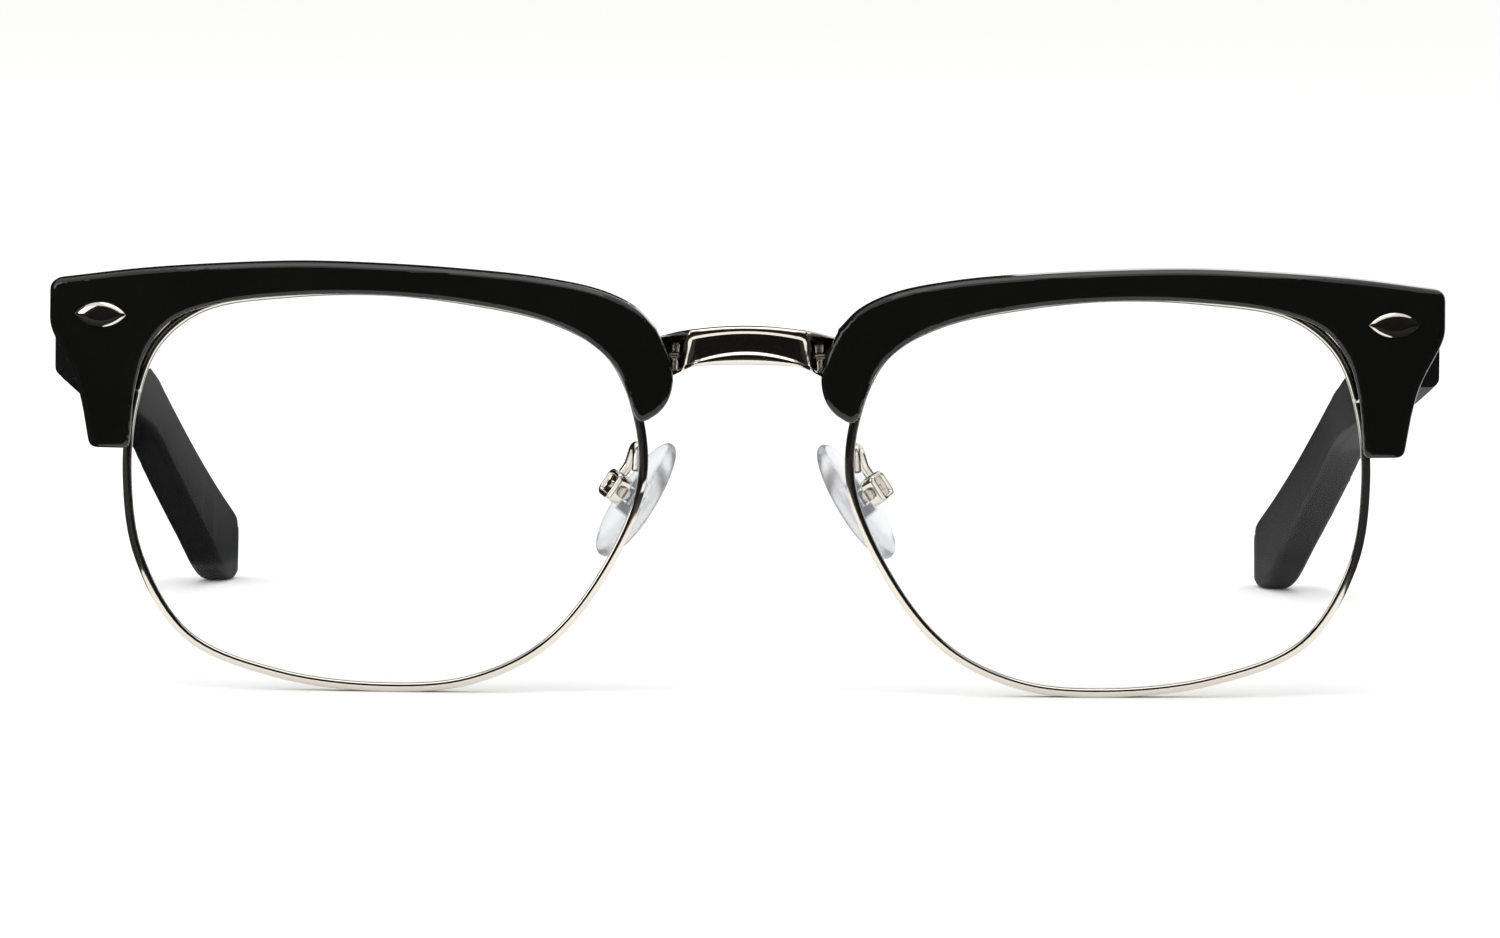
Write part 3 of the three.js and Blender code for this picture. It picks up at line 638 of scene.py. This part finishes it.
def rim_section():
    """The wire's section: x away from the lens, y along its depth."""
    half = RIM_WALL / 2
    outer = corner(
        (half - 0.5, RIM_HALF_DEPTH), (half, RIM_HALF_DEPTH), (half, RIM_HALF_DEPTH - 0.55), 4,
    )
    upper = [(-half, 0.42), (-half, 0.86), (-half + 0.12, RIM_HALF_DEPTH)]
    above = upper + [tuple(point) for point in outer]
    below = [(x, -y) for x, y in reversed(above)]
    groove = [(-half + 0.42, 0.0)]
    return above + below + groove


def sweep(name, path, section, closed):
    """A section drawn along a path, as a mesh."""
    profile = bpy.data.curves.new(name + "_section", "CURVE")
    profile.dimensions = "2D"
    line = profile.splines.new("POLY")
    line.points.add(len(section) - 1)
    for point, (x, y) in zip(line.points, section):
        point.co = (x, y, 0, 1)
    line.use_cyclic_u = True
    profile_object = bpy.data.objects.new(name + "_section", profile)
    bpy.context.collection.objects.link(profile_object)
    curve = bpy.data.curves.new(name, "CURVE")
    curve.dimensions = "3D"
    curve.twist_mode = "Z_UP"
    curve.bevel_mode = "OBJECT"
    curve.bevel_object = profile_object
    curve.use_fill_caps = not closed
    spline = curve.splines.new("POLY")
    spline.points.add(len(path) - 1)
    for point, place in zip(spline.points, path):
        point.co = (*place, 1)
    spline.use_cyclic_u = closed
    piece = bpy.data.objects.new(name, curve)
    bpy.context.collection.objects.link(piece)
    activate(piece)
    bpy.ops.object.convert(target="MESH")
    bpy.data.objects.remove(profile_object)
    return piece


def make_rim():
    path = [(place[0], place[1], 0.0) for place in lens_outline(RIM_WALL / 2)]
    rim = sweep("rim", path, rim_section(), closed=True)
    rim.matrix_world = Matrix.Rotation(math.pi / 2, 4, "X")
    activate(rim)
    bpy.ops.object.transform_apply(location=True, rotation=True, scale=True)
    edit(
        rim,
        (bpy.ops.mesh.remove_doubles, {"threshold": 0.001}),
        (bpy.ops.mesh.normals_make_consistent, {"inside": False}),
    )
    for vertex in rim.data.vertices:
        vertex.co.y += front_sag(vertex.co.x, vertex.co.z)
    lock = block("lock", LOCK_LOW, LOCK_HIGH)
    clear_of_lens = plate("clear", lens_outline(0.6), [(0, 4), (0, -4)])
    curve_front(clear_of_lens, (9, 0), (62, 41), 6.0)
    boolean(lock, clear_of_lens, "DIFFERENCE")
    apply_modifier(lock, "BEVEL", width=0.25, segments=3, limit_method="ANGLE")
    boolean(rim, lock, "UNION")
    around, along = Vector((7, 10, 0)), Vector((0, 0, THROUGH))
    split = block("split", LOCK - around - SPLIT_HALF, LOCK + around + SPLIT_HALF)
    boolean(rim, split, "DIFFERENCE")
    boolean(rim, rod("bore", LOCK_BORE, LOCK - along, LOCK + along), "DIFFERENCE")
    soften(rim, 0, sharp=40)
    return rim


hand_over_pair(make_rim(), "front", "rim", "plated_metal")

# %% [markdown]
# ## Brows
# A brow is milled from sheet 4.2 mm thick. Its front edge carries a bright bevel, its back has a
# rabbet for the rim, a slot for the bridge and a pocket for the rim's lock. Only the outline is
# listed. The corners that are rounded on the real brow are rounded here, so that the bevel runs
# round them without a fold.

# %% Brows
BROW_FRONT = -2.6
BROW_BACK = 1.6
BROW_ROUNDING = 0.62
BROW_LAND = 0.06
BROW_BACK_EDGE = 0.15
BROW_LIP = 1.3
BROW_END_X = 69.05
LEG_LOW_Z = 23.8
RIM_GAP = 0.3
BRIDGE_SLOT = (5, -0.6, 30.3), (13.2, THROUGH, 35.9)
LOCK_POCKET = (59, -1.2, 25.9), (64.2, THROUGH, 32.1)


def brow_outline():
    top = [(9.0, 36.1), (11, 38.1), (14.4, 39.75), (20.3, 41.0), (28.2, 41.8), (36, 42.25), (44, 42.4),
           (52, 42.05), (60, 41.4), (68.0, 40.35)]
    outer = [(68.5, 34.6), (66.6, 31), (65.8, 28.4), (65.1, 24.7)]
    lens_side = [(60.87, 24.6), (60.4, 29.5), (59.2, 33.5), (56.8, 36.4), (52.4, 38.1), (44, 39.15),
                 (36, 39.25), (28.2, 38.6), (20.3, 37), (15.9, 35), (12.9, 32.2), (11.3, 28.4)]
    nose_side = [(9.7, 27.2), (8.65, 27.9), (7.75, 29.1), (7.3, 31), (7.7, 33.4), (9.0, 36.1)]
    return joined(
        smooth(top),
        corner(top[-1], (BROW_END_X, 40.2), (BROW_END_X, 39.2)),
        corner((BROW_END_X, 36.6), (BROW_END_X, 35.6), outer[0]),
        smooth(outer),
        corner(outer[-1], (65.0, LEG_LOW_Z), (64.1, LEG_LOW_Z)),
        corner((61.7, LEG_LOW_Z), (60.9, LEG_LOW_Z), lens_side[0]),
        smooth(lens_side),
        corner(lens_side[-1], (10.85, 26.6), nose_side[0], 8),
        smooth(nose_side),
    )


def make_brow():
    back_edge = [(BROW_BACK_EDGE, BROW_BACK), (0.0, BROW_BACK - BROW_BACK_EDGE)]
    front_edge = round_edge(BROW_FRONT, BROW_ROUNDING, BROW_LAND)
    brow = plate("brow", brow_outline(), back_edge + front_edge)
    rabbet = plate("rabbet", lens_outline(RIM_WALL + RIM_GAP), [(0, THROUGH), (0, -BROW_LIP)])
    boolean(brow, rabbet, "DIFFERENCE")
    boolean(brow, block("bridge_slot", *BRIDGE_SLOT), "DIFFERENCE")
    boolean(brow, block("lock_pocket", *LOCK_POCKET), "DIFFERENCE")
    curve_front(brow, (7, 23.5), (69.5, 43), 1.5)
    return brow


hand_over_pair(make_brow(), "front", "brow", "gloss_acetate")

# %% [markdown]
# ## Bridge
# The bridge is a casting. Its middle is a panel between a thin upper bead and a broad lower lip, each
# end of the panel has a raised knuckle that leans outwards as it falls, and the flanges sweep back
# and down behind the brows. It is skinned along x: each station has its own top, bottom, front and
# back. The panel leans back by a few degrees, which is why it reads dark.

# %% Bridge
BRIDGE_HALF_SPAN = 12.6
BRIDGE_TOP_Z = 36.45
BRIDGE_BOTTOM_Z = 32.7
PANEL_DEPTH = 0.6
FLANGE_STEP_BACK = 2.85
PANEL_HALF_THICKNESS = 1.1
KNUCKLE_HEIGHT = 0.3
BACK_EDGE = 0.25
NOSE_SCREW = Vector((10.9, 33.2))
PANEL_END = 5.4
LIP_SHARE = 0.36
BRIDGE_FACE = [
    (0.0, -0.12), (0.02, 0.04), (0.05, 0.15), (0.1, 0.21), (0.17, 0.22), (0.24, 0.21), (0.28, 0.15),
    (0.32, 0.0), (0.36, -0.07), (0.5, -0.1), (0.65, -0.14), (0.8, -0.2), (0.83, -0.17), (0.86, -0.1),
    (0.92, -0.1), (0.96, -0.16), (0.985, -0.26), (1.0, -0.4),
]


def bridge_ring(x):
    reach = abs(x)
    fall = min(1, reach / 6) ** 2
    top = BRIDGE_TOP_Z - 0.5 * fall - 0.8 * ease(reach, 5.5, 9.5)
    bottom = BRIDGE_BOTTOM_Z - 0.25 * fall - 1.7 * ease(reach, 4.8, 9.2)
    middle = PANEL_DEPTH + FLANGE_STEP_BACK * ease(reach, 4.5, 8.6)
    half = PANEL_HALF_THICKNESS - 0.45 * ease(reach, 5, 9)
    front = middle - half + 0.35
    back = middle + half
    arch = 1 - 0.65 * min(1, reach / PANEL_END) ** 2
    section = []
    for share, proud in BRIDGE_FACE:
        if share <= LIP_SHARE:
            level = share * arch
        else:
            level = 1 - (1 - share) * (1 - LIP_SHARE * arch) / (1 - LIP_SHARE)
        lean = PANEL_END + 0.8 * (1 - level)
        knuckle = KNUCKLE_HEIGHT * math.exp(-((reach - lean - 0.35) / 0.3) ** 2)
        panel = 1 - ease(reach, lean - 0.6, lean + 0.1)
        rounding = 0.3 * (2 * level - 1) ** 8
        y = front - panel * proud - (1 - panel) * (0.1 - rounding) - knuckle * (1 - rounding)
        section.append((min(y, back - 0.4), bottom + level * (top - bottom)))
    section += [(back - BACK_EDGE, top), (back, top - BACK_EDGE)]
    section += [(back, bottom + BACK_EDGE), (back - BACK_EDGE, bottom)]
    return [Vector((x, y, z)) for y, z in section]


def make_bridge():
    near = [0.6 * i for i in range(7)] + [4.0 + 0.15 * i for i in range(24)]
    far = [7.6 + 0.4 * i for i in range(12)] + [BRIDGE_HALF_SPAN]
    reaches = near + far
    places = [-reach for reach in reversed(reaches[1:])] + reaches
    bridge = skin("bridge", [bridge_ring(x) for x in places])
    for side in (-1, 1):
        x, z = side * NOSE_SCREW.x, NOSE_SCREW.y
        boolean(bridge, rod("hole", 0.55, (x, 0, z), (x, 8, z)), "DIFFERENCE")
    soften(bridge, 0, sharp=60)
    return bridge


hand_over(make_bridge(), "front", "bridge", "plated_metal")

# %% [markdown]
# ## Temples
# A temple is one bar: straight from the hinge to the ear, bent down behind it, and a little wider at
# the blunt tip, which also curves towards the head. Its section is a rectangle with round corners.
# Skinning follows the same stations as the CAD model, with about three times as many rings.

# %% Temples
TEMPLE_INNER_X = 65.0
TEMPLE_HALF_WIDTH = 1.9
TEMPLE_START_Y = 10.6
TEMPLE_END_Y = 146
BEND_Y = 100
LEAN = 0.02
TIP_INWARD = 5.6
TIP_THINNING = 0.45
HINGE_POCKET = (64, 0, 32.6), (65.9, 24.3, 37.4)
TEMPLE_PROFILE = [
    (10.6, 35.25, 4.85), (26, 32.9, 4.65), (60, 27.6, 3.95), (92, 22.9, 3.35), (102, 21.0, 3.35),
    (114, 16.8, 3.55), (130, 9.7, 3.95), (141, 4.44, 4.3), (146, 3.1, 3.1),
]


def temple_ring(place, tangent, share):
    y, z, half = place
    along = math.hypot(tangent.x, tangent.y)
    lean = ease(y, TEMPLE_START_Y, TEMPLE_START_Y + 12) * -tangent.y / along
    up = Vector((0, lean, math.sqrt(1 - lean * lean)))
    past_bend = max(0.0, (y - BEND_Y) / (TEMPLE_END_Y - BEND_Y))
    inward = LEAN * (y - HINGE_DEPTH) + TIP_INWARD * past_bend ** 1.6
    centre = Vector((TEMPLE_INNER_X + TEMPLE_HALF_WIDTH - inward, y, z))
    half_width = TEMPLE_HALF_WIDTH - TIP_THINNING * ease(share, 0.93, 1.0)
    outline = rounded_rectangle(half_width, half, 0.9, 6)
    return [centre + Vector((a, 0, 0)) + up * b for a, b in outline]


def make_temple():
    places = smooth(TEMPLE_PROFILE, 9)
    rings = []
    for i, place in enumerate(places):
        ahead = places[min(i + 1, len(places) - 1)] - places[max(i - 1, 0)]
        rings.append(temple_ring(place, ahead, i / (len(places) - 1)))
    temple = skin("temple", rings)
    boolean(temple, block("pocket", *HINGE_POCKET), "DIFFERENCE")
    soften(temple, 0.35, segments=3, sharp=40)
    return temple


hand_over_pair(make_temple(), "temple_SIDE", "temple", "matte_acetate")

# %% [markdown]
# ## Rivets
# The almond is the outline where two arcs meet. Each ring of the head is the same almond made
# smaller and stands higher, steeply at the rim and hardly at all in the middle, so the head is domed
# as a struck rivet's is.

# %% Rivets
RIVET = Vector((63.9, 36.9))
RIVET_HALF = (2.62, 1.27)
RIVET_RISE = 0.45
RIVET_STEPS = 10


def almond_outline(steps=16):
    half_length, half_height = RIVET_HALF
    radius = (half_length ** 2 + half_height ** 2) / (2 * half_height)
    reach = math.asin(half_length / radius)
    angles = [reach * (2 * step / steps - 1) for step in range(steps + 1)]
    flat = half_height - radius
    upper = [Vector((radius * math.sin(a), flat + radius * math.cos(a))) for a in angles]
    return joined(upper, [-point for point in upper])


def make_rivet():
    stations = [(1.0, 0.3), (1.0, 0.0)]
    for step in range(1, RIVET_STEPS):
        share = math.cos(step / RIVET_STEPS * math.pi / 2)
        stations.append((share, -RIVET_RISE * math.sqrt(1 - share ** 3)))
    rings = []
    for share, depth in stations:
        outline = [RIVET + point * share for point in almond_outline()]
        rings.append([Vector((x, BROW_FRONT + depth, z)) for x, z in outline])
    rivet = skin("brow_rivet", rings)
    for vertex in rivet.data.vertices:
        vertex.co.y += front_sag(vertex.co.x, vertex.co.z)
    soften(rivet, 0, sharp=50)
    return rivet


hand_over_pair(make_rivet(), "front", "brow_rivet", "plated_metal")

# %% [markdown]
# ## Nose pads
# Each pad is laid flat on the bench, x up its length, y across its width and z towards the nose, and
# is then carried to its place. The silicone starts as a sphere that is squeezed to a teardrop.

# %% Nose pads
PAD_CENTRE = Vector((10.9, 7.3, 18.8))
PAD_UP = Vector((-0.547, 0, 0.837)).normalized()
PAD_SPLAY = math.radians(28)
PAD_PIVOT = -2.6
PAD_HALF_LENGTH = 6.55
PAD_HALF_WIDTH = 3.25
PAD_TAPER = 0.45
PAD_HALF_THICKNESS = 1.13
CORE_POCKET = (-1.95, -1.45, -0.45), (1.95, 1.45, 0.1)
CORE_MOUTH = (-0.85, -0.75, -2), (0.85, 0.75, -0.3)


def pad_place():
    outward = Vector((PAD_UP.z, 0, -PAD_UP.x))
    across = Vector((0, math.cos(PAD_SPLAY), 0)) + outward * math.sin(PAD_SPLAY)
    nose = PAD_UP.cross(across)
    turn = Matrix((PAD_UP, across, nose)).transposed().to_4x4()
    return Matrix.Translation(PAD_CENTRE) @ turn


def carry(piece, matrix):
    piece.matrix_world = matrix
    activate(piece)
    bpy.ops.object.transform_apply(location=True, rotation=True, scale=True)
    return piece


def make_nose_pad():
    bpy.ops.mesh.primitive_uv_sphere_add(radius=1, segments=64, ring_count=32)
    pad = bpy.context.object
    pad.name = "nose_pad"
    for vertex in pad.data.vertices:
        x, y, z = vertex.co
        across = math.hypot(x, y)
        fuller = across ** 0.75 / across if across > 1e-6 else 1.0
        width = PAD_HALF_WIDTH - PAD_TAPER * x * fuller
        depth = PAD_HALF_THICKNESS * math.copysign(abs(z) ** 0.8, z)
        vertex.co = (PAD_HALF_LENGTH * x * fuller, width * y * fuller, depth)
    boolean(pad, block("core_pocket", *CORE_POCKET), "DIFFERENCE")
    boolean(pad, block("core_mouth", *CORE_MOUTH), "DIFFERENCE")
    soften(pad, 0, sharp=50)
    return carry(pad, pad_place())


for pad in hand_over_pair(make_nose_pad(), "pad_SIDE", "nose_pad", "silicone"):
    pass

# %% [markdown]
# ## Pad arms and boxes
# The arm is round wire soldered to the back of the rim: up, over in a tight loop, and down to the
# pad's box. The box is a little cup that was pressed and tumbled: every edge is soft, its back is
# dished, and a round boss stands in the dish.

# %% Pad arms and boxes
PAD_BOX_HALF = (1.45, 1.35)
PAD_BOX_BACK = PAD_PIVOT - 1.2
PAD_BOX_DEPTH = 1.8
BOX_BORE = 0.4
BOSS_RADIUS = 0.38
ARM_RADIUS = 0.5
ARM_SIDES = 20
ARM_PATH = [(10.9, 2.85, 22.0), (10.85, 3.3, 23.5), (10.95, 4.2, 24.25), (11.2, 5.2, 24.0)]


def make_pad_arm():
    on_box = [
        pad_place() @ Vector((PAD_BOX_HALF[0] + up, 0, PAD_PIVOT - 0.4)) for up in (1.1, 0.06)
    ]
    angles = [i * 2 * math.pi / ARM_SIDES for i in range(ARM_SIDES)]
    section = [(ARM_RADIUS * math.cos(a), ARM_RADIUS * math.sin(a)) for a in angles]
    arm = sweep("pad_arm", smooth(ARM_PATH + on_box, 10), section, closed=False)
    edit(
        arm,
        (bpy.ops.mesh.remove_doubles, {"threshold": 0.001}),
        (bpy.ops.mesh.normals_make_consistent, {"inside": False}),
    )
    soften(arm, 0, sharp=50)
    return arm


def box_ring(scale, depth):
    outline = rounded_rectangle(PAD_BOX_HALF[0] * scale, PAD_BOX_HALF[1] * scale, 0.65 * scale, 6)
    return [Vector((x, y, PAD_BOX_BACK + depth)) for x, y in outline]


def make_pad_box():
    dished_back = [(0.62, 0.26), (0.68, 0.05), (0.78, 0.0), (0.9, 0.06), (0.98, 0.2), (1.0, 0.45)]
    mouth = [(1.0, 1.5), (0.97, 1.7), (0.9, PAD_BOX_DEPTH), (0.72, PAD_BOX_DEPTH), (0.67, 1.7)]
    floor_inside = [(0.65, 0.48)]
    stations = dished_back + mouth + floor_inside
    cup = skin("pad_box", [box_ring(scale, depth) for scale, depth in stations])
    boss = rod("boss", BOSS_RADIUS, (0, 0, PAD_BOX_BACK + 0.08), (0, 0, PAD_BOX_BACK + 0.4))
    boolean(cup, boss, "UNION")
    boolean(cup, rod("bore", BOX_BORE, (0, -3, PAD_PIVOT), (0, 3, PAD_PIVOT)), "DIFFERENCE")
    soften(cup, 0, sharp=50)
    return carry(cup, pad_place())


hand_over_pair(make_pad_arm(), "front", "pad_arm", "plated_metal")
hand_over_pair(make_pad_box(), "front", "pad_box", "plated_metal")

# %% [markdown]
# ## Small parts that keep their CAD shape
# Screws, hinge leaves and cores are already the right shape. Each gets a refined copy: the loose
# triangles are merged and dissolved to clean faces, and the edges are broken.

# %% Refined copies
def refine(node, body, slot, width):
    source = frame["nodes"][node]
    copy = bpy.data.objects.new(node + "_fine", source.data.copy())
    bpy.context.collection.objects.link(copy)
    copy.data.transform(Matrix.Scale(1 / MM, 4))
    edit(
        copy,
        (bpy.ops.mesh.remove_doubles, {"threshold": 0.002}),
        (bpy.ops.mesh.dissolve_limited, {"angle_limit": math.radians(0.5)}),
    )
    soften(copy, width, segments=2, sharp=35)
    copy.data.transform(Matrix.Scale(MM, 4))
    wear(copy, slot)
    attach(copy, body)
    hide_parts(node)


SMALL_PARTS = [
    ("rim_lock_screw", "front", "screw_steel", 0.06),
    ("brow_nose_screw", "front", "screw_steel", 0.06),
    ("hinge_screw", "front", "screw_steel", 0.06),
    ("pad_screw", "front", "screw_steel", 0.05),
    ("end_piece", "front", "plated_metal", 0.1),
    ("temple_hinge", "temple_SIDE", "plated_metal", 0.1),
    ("temple_hinge_screw_1", "temple_SIDE", "screw_steel", 0.06),
    ("temple_hinge_screw_2", "temple_SIDE", "screw_steel", 0.06),
    ("nose_pad_core", "pad_SIDE", "pad_core", 0.08),
    ("temple_core_wire", "temple_SIDE", "core_metal", 0.1),
]
for part, body, slot, width in SMALL_PARTS:
    for side in ("right", "left"):
        refine(f"{part}_{side}", body.replace("SIDE", side), slot, width)
print("refined copies", 2 * len(SMALL_PARTS))

# %% [markdown]
# ## Studio
# A pale floor, an even white room and two large soft boxes. Polished metal and acetate show what
# they face, so a low dark dish stands round the frame, seen only in reflections. It is what turns the
# brows black and draws the dark line down each rim. It is open at the back on the -X side, which
# lets a little light on to the inside of the +X temple.

# %% Floor and world
bpy.ops.mesh.primitive_plane_add(size=8)
floor = bpy.context.object
floor.name = "floor"
paper, tree, shader, place = new_material("pale paper sweep")
uneven_gloss(tree, shader, place, 30.0, 0.75, 0.9)
shader.inputs["Base Color"].default_value = colour("#FDFDFC")
shader.inputs["Specular IOR Level"].default_value = 0.0
floor.data.materials.append(paper)

world = bpy.data.worlds.new("studio")
world.use_nodes = True
background = world.node_tree.nodes["Background"]
background.inputs["Color"].default_value = colour("#FFFFFF")
background.inputs["Strength"].default_value = 0.98
bpy.context.scene.world = world
bpy.context.scene.view_settings.view_transform = "Standard"

# %% Dark dish and soft boxes
def spun(name, profile, centre, start, turn, steps=96):
    """A profile of (radius, height) pairs spun about an upright axis."""
    bpy.ops.mesh.primitive_circle_add(vertices=3)
    dish = bpy.context.object
    dish.name = dish.data.name = name
    dish.data.clear_geometry()
    places = []
    for radius, height in profile:
        x, y = centre[0] + radius * math.cos(start), centre[1] + radius * math.sin(start)
        places.append((x, y, height))
    dish.data.from_pydata(places, [(i, i + 1) for i in range(len(places) - 1)], [])
    spin = {"steps": steps, "angle": turn, "center": centre, "axis": (0, 0, 1)}
    edit(dish, (bpy.ops.mesh.spin, spin))
    return dish


DISH_CENTRE = (0.0, BENCH_Y - 0.03, 0.0)
DISH_PROFILE = [(0.08, 0.002), (0.5, 0.003), (1.5, 0.004), (1.5, 1.4)]
DISH_START = math.radians(88)
DISH_TURN = math.radians(-308)

card = spun("dark_dish", DISH_PROFILE, DISH_CENTRE, DISH_START, DISH_TURN)
cloth, tree, shader, place = new_material("black flag cloth")
uneven_gloss(tree, shader, place, 3.0, 0.85, 1.0)
shader.inputs["Base Color"].default_value = colour("#060504")
card.data.materials.append(cloth)
card.visible_camera = False
card.visible_diffuse = False
card.visible_transmission = False
card.visible_shadow = False


def soft_box(name, place, aim, size, power):
    bpy.ops.object.light_add(type="AREA", location=place)
    light = bpy.context.object
    light.name = name
    light.data.shape = "SQUARE"
    light.data.size = size
    light.data.energy = power
    light.rotation_euler = (Vector(aim) - Vector(place)).to_track_quat("-Z", "Y").to_euler()
    return light


soft_box("top_box", (0, -0.2, 1.4), (0, 0, 0), 1.2, 6)
soft_box("side_box", (-1.3, -0.5, 0.7), (0, 0, 0), 0.8, 5)

# %% [markdown]
# ## Camera
# A long lens from a metre away, level with the front and looking down a little, so that the temples
# run back under the brows. The camera leans by half a degree.

# %% Camera
CAMERA_DISTANCE = 1.0
CAMERA_PITCH = math.radians(3.84)
CAMERA_ROLL = math.radians(0.48)
FRAME_WIDTH = 0.1477
SENSOR = 36.0

target = Vector((0.00035, BENCH_Y, 0.0224))
camera_data = bpy.data.cameras.new("camera")
camera_data.sensor_width = SENSOR
camera_data.lens = SENSOR * CAMERA_DISTANCE / FRAME_WIDTH
camera_data.clip_start = 0.01
camera = bpy.data.objects.new("camera", camera_data)
bpy.context.collection.objects.link(camera)
aim = Matrix.Rotation(math.pi / 2 - CAMERA_PITCH, 4, "X")
roll = Matrix.Rotation(CAMERA_ROLL, 4, "Z")
back = aim @ Vector((0, 0, CAMERA_DISTANCE, 0))
camera.matrix_world = Matrix.Translation(target + back.to_3d()) @ aim @ roll
bpy.context.scene.camera = camera
print("camera at", [round(v, 3) for v in camera.location])

# %% Update the scene
bpy.context.view_layer.update()
